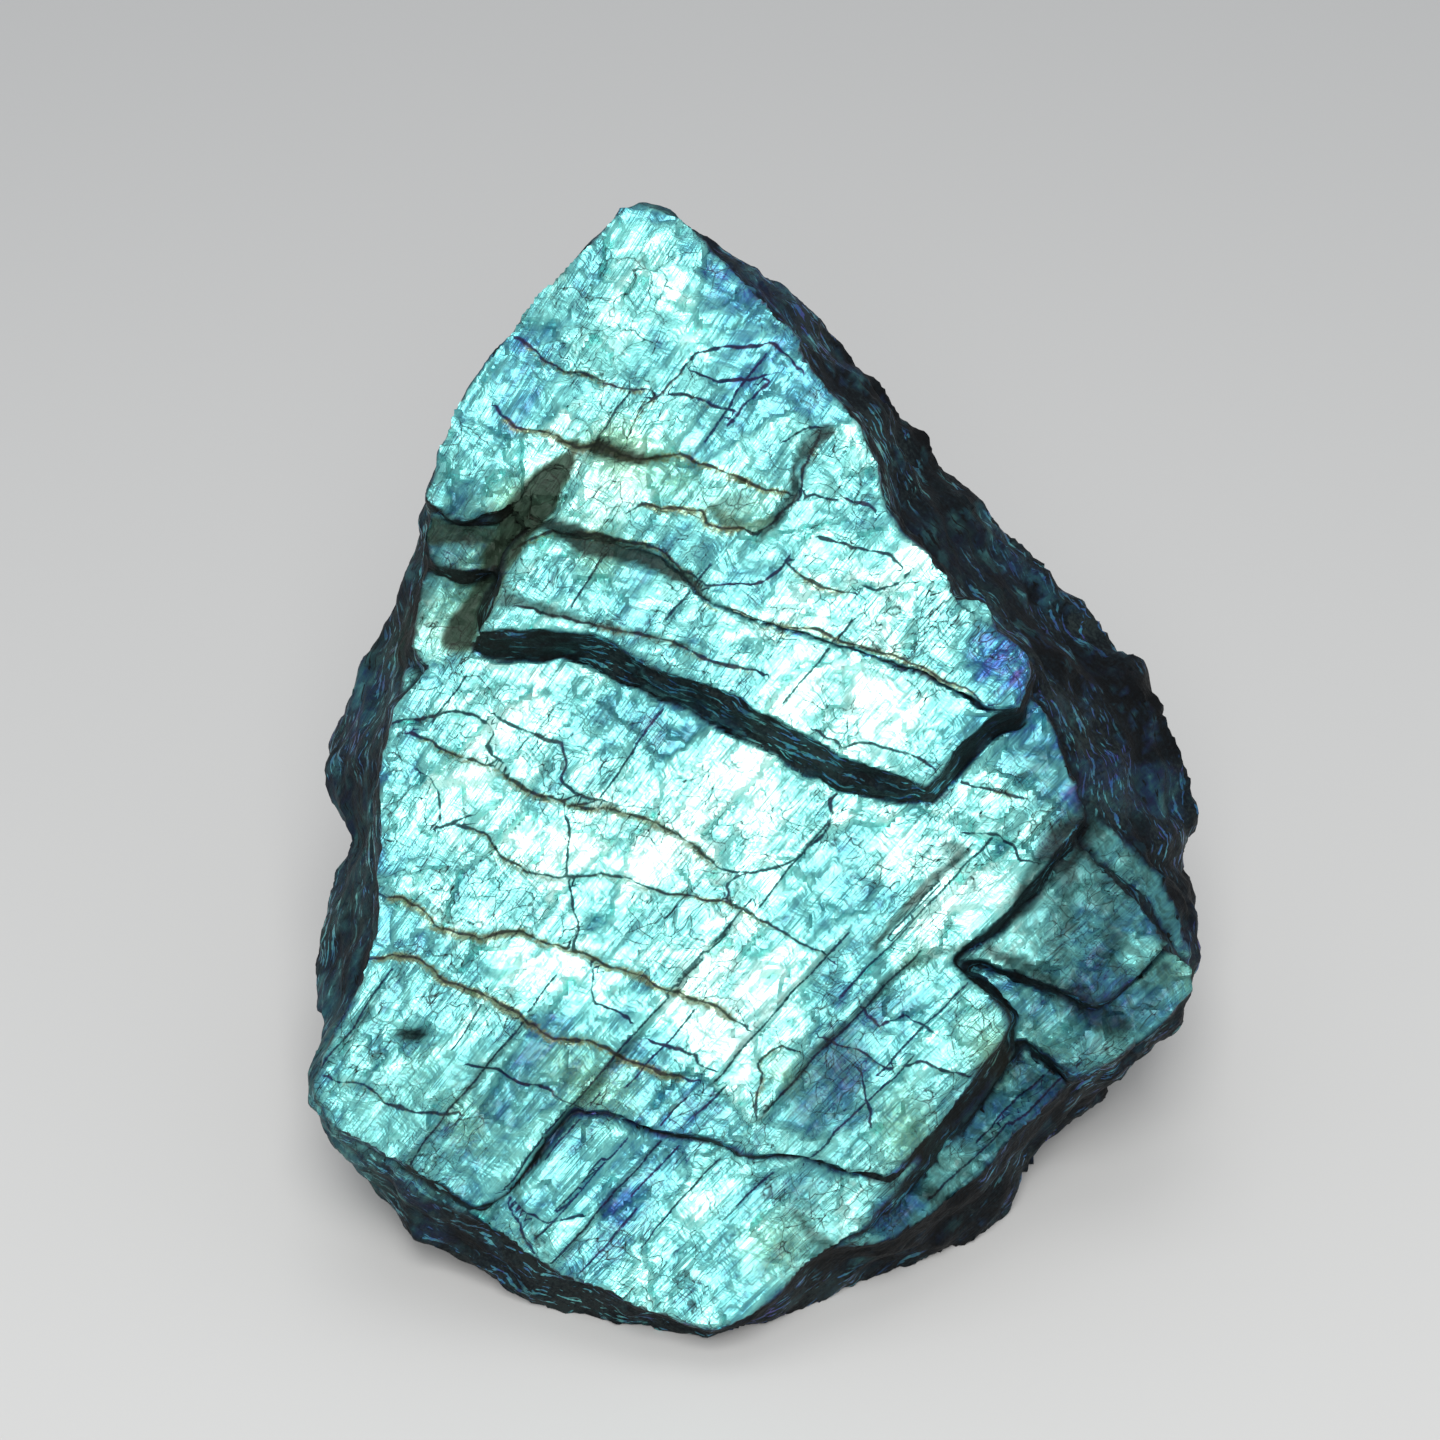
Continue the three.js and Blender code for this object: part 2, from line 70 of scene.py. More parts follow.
# Wavy cracks across the face, each listed from left to right: how deep it is,
# how high its upper lip stands, how stained it is, and its points.
CRACKS = [
    (0.35, 0.55, 1.0, [
        (-29.5, 3.2), (-26, 2), (-24, 0.8), (-22.2, 0.4), (-20.5, -0.8), (-19, -1.8),
        (-17.3, -2.4), (-14.5, -3.1), (-12.5, -3.3), (-10.5, -3.9), (-8.5, -4.6),
        (-7, -5.2), (-5.5, -6.3), (-4, -7.3), (-2, -8.3),
    ]),
    (0.25, 0.15, 0.3, [
        (-2, -8.3), (0.5, -8.6), (3, -8.0), (4.9, -6.5), (6.5, -5), (7.1, -3.8),
        (6.9, -2.5), (7.3, -1.9),
    ]),
    (0.25, 0.45, 0.5, [
        (-31, 4.2), (-28, 4.6), (-25, 4.9), (-23, 4.0), (-22.2, 3.2), (-22.8, 2.2),
        (-22.3, 1.2), (-21, 0.2), (-20.2, -0.7),
    ]),
    (0.25, 0.3, 0.4, [
        (-22.3, 4.6), (-20, 3.7), (-18, 2.9), (-16.3, 2.3), (-15.8, 1), (-16.3, -0.5),
        (-15.5, -2), (-13, -2.6), (-11, -3.3),
    ]),
    (0.25, 0.1, 0.3, [(-1.3, -8.7), (-2.2, -9.6), (-2, -10.8), (-1, -11.8), (0.4, -12.9)]),
    (0.3, 0.4, 0.8, [
        (-25, -4.6), (-23, -5.3), (-21.5, -7.2), (-19.5, -8.6), (-17, -9.1), (-15.3, -9.0),
        (-13, -8.8), (-11, -9.2), (-9.5, -9.8), (-7, -10.6), (-4.5, -11), (-2.2, -11.2),
        (-0.8, -12), (0.4, -12.9), (2, -13.6), (3.5, -14.5), (5.2, -15.3), (7, -16.2),
    ]),
    (0.2, 0.0, 0.5, [
        (-15.8, -3.2), (-15.5, -6), (-15.6, -9), (-15.2, -12), (-15.0, -15.3),
    ]),
    (0.25, 0.2, 0.3, [
        (-28.5, 0.2), (-27.2, -0.4), (-26.8, -2), (-26.6, -4), (-27.2, -4.8),
        (-25.5, -4.4), (-24, -3.6),
    ]),
    (0.3, 0.5, 1.3, [
        (-32, -10.5), (-30, -11), (-28.5, -12), (-27, -13.5), (-25, -14), (-22.5, -14.2),
        (-20, -14), (-18, -14.6), (-16, -15.3), (-14, -16.1), (-12, -16.8), (-10, -17.4),
        (-8, -18.5), (-6, -19), (-4, -19.7), (-2, -20.8), (-0.5, -22),
    ]),
    (0.3, 0.5, 1.3, [
        (-33.5, -16.5), (-31, -15.9), (-29.5, -16.0), (-28, -16.7), (-26, -18),
        (-24, -18.9), (-22, -19.7), (-20, -20.7), (-18.8, -21.5), (-17.5, -22.5),
        (-16, -23.1), (-14, -23.3), (-12, -23.9), (-10.8, -24.9), (-9, -25.4), (-7, -26),
        (-4.8, -26.6),
    ]),
    (0.45, 0.4, 0.7, [
        (-24, -25), (-22, -25.6), (-20.5, -26.1), (-18, -26.8), (-16.5, -27.8),
        (-15, -28.5),
    ]),
    (0.2, 0.1, 0.3, [
        (-14, -16.3), (-13.6, -18), (-13.4, -20), (-12, -20.4), (-10.5, -21.3),
    ]),
    (0.2, 0.1, 0.5, [
        (-8.5, -23.0), (-6.5, -23.7), (-4.8, -24.2), (-4.5, -25.2), (-3.5, -25.6),
    ]),
    (0.3, 0.1, 0.8, [
        (0.3, -29.2), (0.2, -27.5), (0.8, -26), (0.3, -25.2), (1.5, -23.9), (2.5, -23.4),
        (4, -24),
    ]),
    (0.25, 0.3, 0.6, [(6, -22.8), (9, -24), (11.5, -25.2), (14.5, -25), (18, -26.3)]),
    (0.25, 0.1, 0.5, [(9, -25.8), (9.8, -28.3), (10, -30)]),
    (0.25, 0.3, 0.4, [(9.6, -20.3), (11, -21.8), (13, -21), (16, -22.5)]),
    (0.25, 0.15, 0.3, [(18.5, -5.2), (21, -5.3), (22.5, -6), (23, -7.5), (24.5, -8.0)]),
    (0.15, 0.1, 0.7, [(17.5, -0.6), (20, -1.5), (23.5, -2.2)]),
    (0.25, 0.3, 0.5, [(-36, -26.4), (-33, -26.6), (-31, -28.3), (-28, -29), (-25, -29.3)]),
    (0.3, 0.3, 0.5, [(-21.2, -36), (-19.5, -37.3), (-17, -38.3), (-14.5, -38)]),
    (0.25, 0.2, 0.4, [(-20.8, -36.8), (-19.5, -39), (-17.8, -41.6)]),
    (0.3, 0.5, 0.8, [
        (-20.5, 37.2), (-18.5, 35.8), (-16.8, 34.4), (-14.5, 33.9), (-12.5, 33.2),
        (-11, 32.6), (-9.5, 32.9), (-8, 32.5),
    ]),
    (0.4, 0.4, 0.6, [
        (-10.4, 28.6), (-9.6, 31), (-8.8, 31.5), (-7.5, 32.7), (-6, 34.3), (-4.5, 35.7),
        (-3, 36.3), (-1, 36.6), (1.5, 36.5), (3, 35.6), (4.2, 34.5),
    ]),
    (0.25, 0.3, 0.5, [(-5, 33.9), (-3, 33.4), (-1, 33.4), (0.5, 33.3), (2, 34.0)]),
    (0.25, 0.3, 0.6, [(-7.5, 32.3), (-5, 31.8), (-3, 31), (-1.5, 30.8)]),
    (0.25, 0.1, 0.3, [(-2, 29.6), (-0.8, 31), (0.3, 32), (1.5, 33)]),
    (0.4, 0.4, 1.2, [
        (-22, 30.9), (-20, 29.2), (-18, 28.4), (-16.3, 28), (-15, 27.5), (-13.5, 27.7),
        (-12, 27.3), (-10.5, 26.8), (-9, 26.5), (-6, 26.9), (-4, 26), (-2, 25), (0, 24.3),
        (2, 23.5), (3.7, 22.8),
    ]),
    (0.35, 0.2, 0.8, [(3.7, 22.8), (4, 24), (4.3, 25.4), (5.2, 27), (5.8, 28.5)]),
    (0.3, 0.2, 0.3, [(2.8, 28), (4.5, 29), (5.8, 29.4)]),
    (0.35, 0.3, 1.2, [
        (-10.5, 21.8), (-9.5, 22.4), (-8, 22), (-6, 22.3), (-4.5, 22.1), (-4, 20.7),
        (-2, 20.3), (-0.5, 20.4), (0.5, 19.7),
    ]),
    (0.3, 0.3, 0.4, [(0.5, 19.7), (2, 21), (3.5, 22.7), (5, 23.2), (8, 23), (10.5, 22)]),
    (0.6, 1.1, 0.9, [
        (-20.5, 18.6), (-18.5, 19.6), (-17, 20.3), (-15, 20.1), (-13, 19.8), (-12, 19.3),
        (-10, 18.9), (-8, 18.3), (-6.5, 17.4), (-5.5, 16.6), (-4.5, 15.8),
    ]),
    (0.3, 0.2, 0.6, [
        (-5.5, 16.6), (-4.5, 15.8), (-3, 15.6), (-1, 15.6), (1.0, 15.6), (2.3, 16.9),
        (3, 17.7),
    ]),
    (0.15, 0.05, 0.9, [(2.9, 17.2), (4.5, 16), (6.5, 15), (8.5, 14.6)]),
    (0.25, 0.15, 0.5, [(5.5, 19.5), (8, 19), (10, 18.3), (12, 17.8), (13, 17)]),
    (0.3, 0.2, 0.3, [(9.3, 15.3), (10.5, 14.9), (12, 15.2), (13.5, 16.5)]),
    (0.2, 0.0, 1.0, [
        (-4.5, 15.4), (-3.5, 14.2), (-2, 13.4), (0, 12.4), (2, 11.8), (4, 11.5), (6, 11),
        (8, 10.3), (10, 9.8), (12, 9.2), (14, 8.2), (16, 7.2), (18, 6.2), (20, 5),
    ]),
    (0.25, 0.25, 0.7, [
        (-20, 13.6), (-16.5, 12.8), (-13, 12.0), (-10, 11.3), (-7, 10.6), (-5, 9.4),
        (-2, 8.6), (1, 7.8),
    ]),
    (0.2, 0.1, 0.4, [(5.5, 2.8), (7.5, 1.6), (9, 1.9), (12, 1.2), (14, 0.4), (15.5, -0.4)]),
]

# Long straight steps along the striations: both ends, and the step's height.
STEPS = [
    ((-36.8, -27), (-31, -16.5), 0.45),
    ((-29.8, -34.2), (-19, -21), 0.6),
    ((-21.5, -36), (-1.5, -12.8), 0.75),
    ((-17.5, -42.5), (-7.5, -31), 0.65),
    ((-14.9, -43), (-9.6, -36.7), 0.4),
    ((-3.5, -27), (8.5, -13.4), 0.7),
    ((0.3, -29.5), (15, -15.2), 0.8),
    ((7, -19.5), (18, -8.7), 0.65),
    ((11, -14.5), (16.5, -9), 0.4),
    ((16, -10), (21, -5.5), 0.4),
    ((-26, -24), (-22.5, -20), 0.3),
    ((-11, -27.5), (-4.5, -20), 0.3),
    ((4, -34), (14, -24), 0.4),
    ((10, -26), (20, -17), 0.35),
    ((-8, -20), (0, -10.5), 0.3),
    ((0, -12), (7, -4), 0.25),
    ((-14.5, 27), (-10, 33), 0.4),
    ((-5, 28), (2, 35.5), 0.3),
    ((-8, 12), (-3, 17.5), 0.3),
    ((2, 5), (9, 12.5), 0.3),
    ((-15.5, 13), (-12, 18.5), 0.3),
    ((-28, 4), (-24, 8.5), 0.25),
    ((-14, -2.5), (-7, 5.5), 0.25),
    ((22, -31), (29, -24.5), 0.6),
    ((19, -32), (26, -25.5), 0.5),
    ((15, -37), (23, -29.5), 0.6),
    ((-19, -39.8), (-9.9, -31.2), 0.3),
    ((-17.6, -37.2), (-11.6, -32.8), 0.25),
    ((-10.7, -36.4), (-5.5, -31.7), 0.25),
    ((-9.4, -41), (-2.8, -32.5), 0.35),
    ((-1.4, -37.8), (1.9, -33.7), 0.3),
    ((-19.3, -20.9), (-16.2, -17.4), 0.3),
    ((-8, -30.8), (-5.2, -27.5), 0.25),
    ((-5.2, -30), (-1.9, -26.4), 0.25),
    ((-17.6, -33.4), (-12.7, -27.4), 0.3),
    ((-7.4, -13.2), (-6.1, -11), 0.25),
]

# Small pits in the face: u, v, how long, how wide and how deep each is.
PITS = [
    (-29.0, -22.4, 1.1, 0.6, 1.3),
    (8.1, 16.0, 0.6, 0.45, 0.45),
    (-2.8, -12.2, 0.35, 0.3, 0.5),
    (-13.0, 27.2, 2.6, 0.7, 0.6),
    (-8.4, 26.4, 1.4, 0.5, 0.4),
    (-2.0, 22.0, 2.2, 1.4, 0.5),
    (16.8, -6.8, 0.8, 0.2, 0.5),
    (8.0, 5.5, 0.2, 0.8, 0.4),
]

# Patches of the face: u, v, how far each spreads, and how strong it is.
# Painted highlights: where the face looks lit hottest, its flash is paler.
PAINTED_HIGHLIGHTS = [
    (-18, -10.5, 8, 1.0), (-8, -4, 8, 1.0), (-21, 6, 5, 0.7), (3, -6, 6, 0.8),
    (14, -7, 5, 0.9), (0, -17, 5, 0.9), (-5, -22, 4, 0.8), (4, 6.5, 7, 1.0),
    (11, 4.5, 5, 0.9), (7, 14, 7, 0.8), (12, 18, 5, 0.6), (-12, 23.2, 3.5, 1.0),
    (-7, 40, 5, 0.9), (-13, 37, 4, 0.7), (-17, 33, 3.5, 0.6), (-6, 14, 5, 0.6),
    (18, -11, 3.5, 0.7), (-27, -2, 4, 0.5), (-20, -16.5, 4, 0.6), (-6, -37, 3.5, 0.7),
    (-24, 7, 4, 0.6), (22, -1, 4, 0.3), (17, -22, 3.5, 0.5), (-20, -32, 3, 0.3),
    (-25, 27.5, 3, 0.4), (-2, 30, 4, 0.4), (12, -18, 5, 0.3), (-12, -19, 4, 0.5),
]
BLUE = [
    (22, 10, 4.5, 0.9), (24.5, 6, 4, 0.9), (6, 30, 5, 0.5), (1, 41.5, 4.5, 0.8),
    (9.5, 24.5, 3, 0.6), (-24, -32.4, 2, 0.9), (-21, -23, 3, 0.6), (12, -37, 3.5, 1.2),
    (-12, -37, 2.5, 0.8), (27, -2.5, 3, 0.9), (30, -17, 7, 0.8), (-30, -13, 4, 0.8),
    (-34, -6, 4, 1.0), (-25, 29.5, 2.5, 0.5), (-21, 30.5, 3, 0.4), (-28, 25, 2.5, 0.6),
    (26, -28, 5, 0.9), (23, -20, 3, 0.7), (-9.5, 21.5, 2, 0.8), (-16.5, -24, 2, 0.6),
    (-37, -26, 3, 0.8), (18, -31, 4, 0.7), (-37, 2, 4, 0.8), (-5, 46, 3, 0.5),
    (2.5, 36, 2.5, 0.5), (19, 5.5, 3, 0.4), (-36, -16, 4, 1.0), (17.5, -9.5, 2, 0.5),
]
OLIVE = [
    (3, -26, 2.6, 1.0), (13.5, -16, 2.2, 0.8), (18.5, -21, 3.5, 0.5), (13, -31.5, 3.5, 0.6),
    (-32, -28.5, 4, 0.5), (-25, -29.5, 5, 0.6), (-14, -26, 4, 0.5), (4, -38, 4, 0.5),
    (0.5, -41, 3.5, 0.7), (0, 22, 4, 0.8), (-6, 24, 3.5, 0.5), (-20, 22.5, 3, 1.1),
    (-12, 27.5, 3.5, 1.0), (-25, 14, 5, 0.9), (-8, 44, 2.5, 0.4), (-6, 38.5, 3, 0.35),
    (12, -26, 5, 0.4), (-21, -34, 5, 0.4), (38, -17, 3, 0.8), (-12.5, 18.6, 4, 0.8),
    (21, -24.5, 2.5, 0.8), (-31.5, 12, 3, 0.5),
]
DULL = [
    (6, -29, 6, 0.6), (20, -32, 6, 0.9), (29, -13, 7, 1.0), (-26, -31, 8, 0.35),
    (-23.5, 21, 4, 0.6), (33, -18, 6, 0.8), (6, -44, 5, 0.9), (26, -27, 6, 0.8),
    (-18, -26.5, 4, 0.4), (14, -38, 4, 0.9), (5, -37, 4, 0.3), (33, -4, 5, 1.2),
    (37, -9, 4, 1.2), (28, -5, 3, 0.8), (26, 1, 3, 0.5), (20, -42, 5, 1.0),
    (-30, 14, 3, 0.8), (-28, 18, 3, 0.8), (7, -24.5, 2.5, 0.5), (-29, 24, 3, 0.4),
]

# Dark bands of painted shade where the ground drops away, tinted olive:
# how strong each is, how olive, and its points, each with its half width.
SHADE_BANDS = [
    (1.1, 0.3, [
        (-18.2, 21.3, 0.5), (-16.6, 20.6, 0.8), (-13.3, 18.9, 0.95), (-10.1, 17.9, 0.75),
        (-7.4, 16.9, 0.6), (-4.8, 15.7, 0.3), (-3.4, 14.4, 0.2),
    ]),
    (1.05, 0.7, [
        (-15.6, 26.6, 0.5), (-16.9, 25.0, 0.9), (-18.6, 23.1, 1.5), (-20.4, 20.7, 1.9),
        (-21.8, 17.8, 1.4), (-23.4, 14.5, 1.3), (-25, 11.8, 1.6),
    ]),
    (0.85, 0.6, [(-28, 20.6, 1.2), (-25.2, 20.4, 1.0), (-22.0, 19.8, 1.0)]),
    (1.05, 0.6, [
        (-16.8, 27.9, 0.15), (-14.5, 27.7, 0.3), (-12.4, 27.2, 0.7), (-10.4, 26.8, 0.6),
        (-8.0, 26.2, 0.2),
    ]),
    (0.9, 0.2, [
        (6.4, 29.2, 0.6), (5.2, 28.0, 0.7), (3.6, 25.7, 0.3), (3.3, 23.1, 0.4),
        (2.3, 21.2, 0.35), (0.6, 19.2, 0.2),
    ]),
    (0.7, 0.8, [(-3.8, 22.3, 0.3), (-2, 20.9, 0.7), (0.4, 20.5, 0.6), (1.8, 21.4, 0.3)]),
    (0.8, 0.3, [
        (-21.6, 14.4, 0.6), (-18, 13.4, 0.45), (-14, 12.3, 0.35), (-9, 11.0, 0.25),
        (-5.4, 10.0, 0.2),
    ]),
    (0.85, 0.3, [
        (16.5, -6.3, 0.2), (18.0, -6.9, 0.5), (14.0, -11.0, 0.4), (10.4, -14.9, 0.35),
    ]),
    (0.8, 0.1, [
        (21.5, -13.5, 0.5), (24.5, -9.5, 1.2), (27.5, -6.0, 1.6), (29.5, -3.5, 1.8),
    ]),
    (0.8, 0.2, [(20.5, -15.2, 0.4), (24, -17.0, 0.8), (28, -19.2, 0.9), (32, -22, 0.9)]),
    (0.7, 0.2, [(10, -34.5, 0.3), (14, -35.5, 0.6), (18, -37.5, 1.0)]),
    (0.7, 0.4, [(3.5, -37.4, 0.2), (6.5, -41, 0.5), (9, -44, 1.2)]),
    (0.5, 0.3, [(-30, -17.2, 0.15), (-33, -21, 0.3), (-37, -26.5, 0.3)]),
    (0.6, 0.1, [(-19, -21, 0.15), (-23, -25.8, 0.3), (-29.6, -34, 0.3)]),
    (0.6, 0.1, [(-1.4, -12.7, 0.15), (-9, -21.9, 0.28), (-14.6, -28.5, 0.3)]),
    (0.6, 0.2, [(8.5, -13.4, 0.15), (1, -21.2, 0.3), (-3.6, -27.0, 0.2)]),
    (0.7, 0.2, [
        (18.5, -14.6, 0.2), (13, -16.8, 0.4), (4.8, -24.8, 0.25), (0.3, -29.8, 0.15),
    ]),
    (0.6, 0.2, [(-7.6, -31.1, 0.15), (-12, -36.5, 0.35), (-17.4, -42.8, 0.2)]),
    (0.5, 0.5, [(-28.5, -11.8, 0.2), (-24, -13.9, 0.3), (-19, -14.2, 0.25)]),
    (0.6, 0.3, [(-20.4, -35.6, 0.3), (-18.5, -38.6, 0.35), (-17, -41.5, 0.3)]),
]

# Patches of hackly ground on the face, and of flash on the sides.
BROKEN = [
    (-22, 22, 4.5, 1.0), (-25, 26, 3.5, 0.8), (-17, 20, 3, 0.7), (29, -12, 7, 0.9),
    (24, -20, 5, 0.7), (30, -20, 6, 0.8), (16, -34, 6, 0.8), (24, -30, 5, 0.9),
    (10, -42, 5, 0.6), (24, 3, 3.5, 0.7), (22, 9, 3, 0.6), (12, 28, 3.5, 0.6),
    (-33, 2, 4, 0.8), (-34, -10, 4, 0.8), (-38, -26, 4, 0.7), (-30, -34, 4, 0.7),
    (-20, -26.5, 4, 0.5), (8, -29, 5, 0.35), (-25, 13, 4, 0.6), (4, 36, 3.5, 0.5),
    (-12, 27.5, 3, 0.5), (0, 22, 3.5, 0.5), (22, -6, 3, 0.6), (8, 38, 4, 0.6),
]
# The flank patches are flash painted on the sides, some of it painted light on walls that
# stand in shade.
FLANK = [
    (-35, 9, 5, 0.45), (-37, -6, 6, 0.4), (-33, 22, 5, 0.4), (-39, -24, 6, 0.9),
    (-34, -33, 4, 0.7), (-26, 30, 5, 0.5), (-18, 40, 5, 0.6), (-10, 49, 4, 0.7),
    (-18, -28.5, 3, 0.6), (-12, -30, 2.5, 0.4), (3, 47, 4, 0.4), (36, -16, 4, 0.4),
]

# The pocket of the upper valley that is filled: u, v, how wide, how high.
POCKET = (-17.4, 23.3, 3.2, 4.3)

# The step across the toe, how far from it the lower ground is raised, how
# high it stands there and how much lower it is at the far end.
TOE = [(-12.5, -29.5), (-16, -31.7), (-18.5, -34.8), (-20, -36.3)]
TOE_REACH, TOE_HEIGHT, TOE_DROP = 6, -0.25, 1.5

# How many low striations there are.
STRIATIONS = 190

# Blocks of the face, and crumbs of its broken ground: how their cells are
# stretched across and along the striations, their size, lift and tilt.
BLOCKS = [
    ((1.0, 0.75), 7.0, 0.24, 0.07),
    ((1.3, 0.8), 3.2, 0.12, 0.13),
    ((1.5, 0.9), 1.6, 0.05, 0.14),
]
CRUMBS = [((1.2, 0.8), 2.3, 0.40, 0.30), ((1.3, 0.8), 1.1, 0.12, 0.25)]

# Bowls of the sides: size and depth.
BOWLS = [(9.0, 2.6), (4.2, 1.1), (2.0, 0.4)]

# How the web of hairline cracks is stretched across, along and into the face.
WEB_STRETCH = (0.50, 0.36, 0.5)

# The flash's colour along its tone: violet, blue, teal, and near white.
HUES = [
    (0.0, (0.070, 0.060, 0.26)),
    (0.14, (0.032, 0.11, 0.31)),
    (0.30, (0.055, 0.24, 0.32)),
    (0.48, (0.135, 0.47, 0.465)),
    (0.66, (0.265, 0.76, 0.70)),
    (0.85, (0.58, 1.0, 0.91)),
]
OLIVE_HUE = (0.22, 0.44, 0.22)
RUST_HUE = (0.20, 0.19, 0.055)

# The stone under the flash, from its dark grains to its pale ones.
STONE = [
    (0.25, (0.001, 0.0015, 0.002)),
    (0.50, (0.003, 0.006, 0.008)),
    (0.75, (0.014, 0.022, 0.022)),
]
EARTH = (0.016, 0.018, 0.009)

# The stage: the face's middle, and around it the places of the lights and the
# camera, each an azimuth and an elevation in degrees and a distance in metres.
# Then the lights' sizes, the camera's sensor, the sky and half the floor.
MIDDLE = np.array([[-2.76, 4.48, 0.0]])
KEY_PLACE, KEY_SIZE = (0, 48, 0.62), (0.28, 0.46)
TOP_PLACE, TOP_SIZE = (200, 80, 6.0), (3.2, 3.2)
CAMERA_PLACE, SENSOR = (0, 35, 0.2931), 36
SKY, SKY_STRENGTH = (0.80, 0.84, 0.90, 1), 0.52
FLOOR_REACH = 3


def ease(low, high, x):
    """Nought at low, one at high, and smooth between them. It falls where low
    is the greater of the two."""
    t = np.clip((x - low) / (high - low), 0, 1)
    return t * t * (3 - 2 * t)


def to_face(points):
    """Row-frame millimetres as u, v and d."""
    x, y, z = (points - FACE_ORIGIN).T
    s, c = math.sin(FACE_LEAN), math.cos(FACE_LEAN)
    return np.stack([x, y * s + z * c, z * s - y * c], 1)


def from_face(face):
    """u, v and d as row-frame millimetres."""
    u, v, d = face.T
    s, c = math.sin(FACE_LEAN), math.cos(FACE_LEAN)
    return np.stack([u, v * s - d * c, v * c + d * s], 1) + FACE_ORIGIN


class Noise:
    """Smooth random values in space: numbers on a lattice, eased between."""

    SIDE = 32

    def __init__(self, seed):
        rng = np.random.default_rng(seed)
        self.lattice = rng.random((self.SIDE,) * 3) * 2 - 1

    def __call__(self, points, size, octaves=1):
        total, reach, scale = 0.0, 0.0, 1.0
        for octave in range(octaves):
            total = total + scale * self._layer(points / size + 7.3 * octave)
            reach, scale, size = reach + scale, scale * 0.5, size * 0.5
        return total / reach

    def _layer(self, p):
        cell = np.floor(p).astype(int)
        f = p - cell
        f = f * f * (3 - 2 * f)
        total = np.zeros(len(p))
        for corner in itertools.product((0, 1), repeat=3):
            share = np.prod(np.where(corner, f, 1 - f), axis=1)
            total += share * self.lattice[tuple(((cell + corner) % self.SIDE).T)]
        return total


def patch(uv, spots):
    """Round patches that fade from their middles, added up."""
    total = np.zeros(len(uv))
    for u, v, size, strength in spots:
        gap = (uv[:, 0] - u) ** 2 + (uv[:, 1] - v) ** 2
        total += strength * np.exp(-gap / (size * size))
    return total


def beside(uv, line):
    """For each point: how far it is from a line of points, which side of it,
    and how far inside the line's ends."""
    best = np.full(len(uv), 1e9)
    side = np.zeros(len(uv))
    ends = np.zeros(len(uv))
    spans = [math.dist(a, b) for a, b in zip(line, line[1:])]
    whole, done = sum(spans), 0.0
    for a, b, span in zip(line, line[1:], spans):
        a, along = np.array(a, float), (np.array(b) - a) / span
        rel = uv - a
        t = np.clip(rel @ along, 0, span)
        gap = np.hypot(*(rel - t[:, None] * along).T)
        near = gap < best
        best = np.where(near, gap, best)
        side = np.where(near, np.sign(along[0] * rel[:, 1] - along[1] * rel[:, 0]), side)
        ends = np.where(near, np.minimum(done + t, whole - done - t), ends)
        done += span
    return best, side, ends


def fan(uv):
    """q across the striations, growing up and to the left, and r along them."""
    du, dv = uv[:, 0] - FAN_CENTRE[0], uv[:, 1] - FAN_CENTRE[1]
    q = FAN_RADIUS * (np.arctan2(dv, du) - math.atan2(-FAN_CENTRE[1], -FAN_CENTRE[0]))
    return q, np.hypot(du, dv) - FAN_RADIUS


def flakes(points, size, rng):
    """Uneven cells in two or three dimensions, each the ground nearest to a
    point of its own: a random number for each cell, and the height of a
    tilted flake on it."""
    count = points.shape[1]
    side = 61 if count == 2 else 23
    grid = np.floor(points / size).astype(int)
    jitter = rng.uniform(0.05, 0.95, (side,) * count + (count,))
    traits = rng.uniform(-1, 1, (side,) * count + (count + 1,))
    best = np.full(len(points), 1e9)
    number = np.zeros(len(points))
    height = np.zeros(len(points))
    for step in itertools.product((-1, 0, 1), repeat=count):
        cell = grid + step
        key = tuple((cell % side).T)
        away = points - (cell + jitter[key]) * size
        gap = (away**2).sum(1)
        near = gap < best
        trait = traits[key]
        best = np.where(near, gap, best)
        number = np.where(near, trait[:, 0], number)
        height = np.where(near, (away * trait[:, 1:]).sum(1), height)
    return number, height


def scoops(points, size, rng):
    """Hollows that meet in sharp ridges: the lowest of a set of bowls, each
    the squared distance to a point of its own, tilted and raised at random."""
    side = 23
    grid = np.floor(points / size).astype(int)
    jitter = rng.uniform(0.05, 0.95, (side, side, side, 3))
    traits = rng.uniform(-1, 1, (side, side, side, 4))
    best = np.full(len(points), 1e9)
    for step in itertools.product((-1, 0, 1), repeat=3):
        cell = grid + step
        key = tuple((cell % side).T)
        away = points / size - (cell + jitter[key])
        trait = traits[key]
        bowl = (away**2).sum(1) + 0.45 * (away * trait[:, 1:]).sum(1) + 0.12 * trait[:, 0]
        best = np.minimum(best, bowl)
    return best


def lip(x, rise, fall):
    """A step up at nought that eases back down on its far side."""
    return ease(-rise, 0, x) * np.clip(1 - x / fall, 0, 1)


def long_steps(q, r):
    """The height of the long straight steps, and the distance to the nearest
    one, signed by its side and plain."""
    height = np.zeros(len(q))
    side, gap = np.full(len(q), 9.0), np.full(len(q), 9.0)
    for start, end, step in STEPS:
        ends, (near, far) = fan(np.array([start, end], float))
        inside = ease(near - 1.5, near + 1, r) * ease(-far - 1.5, -far + 1, -r)
        offset = q - ends.mean()
        height += 0.8 * step * inside * lip(offset, 0.2, 4.0)
        away = np.abs(offset) + 3 * (1 - inside)
        nearer = away < gap
        side, gap = np.where(nearer, offset, side), np.where(nearer, away, gap)
    return height, side, gap


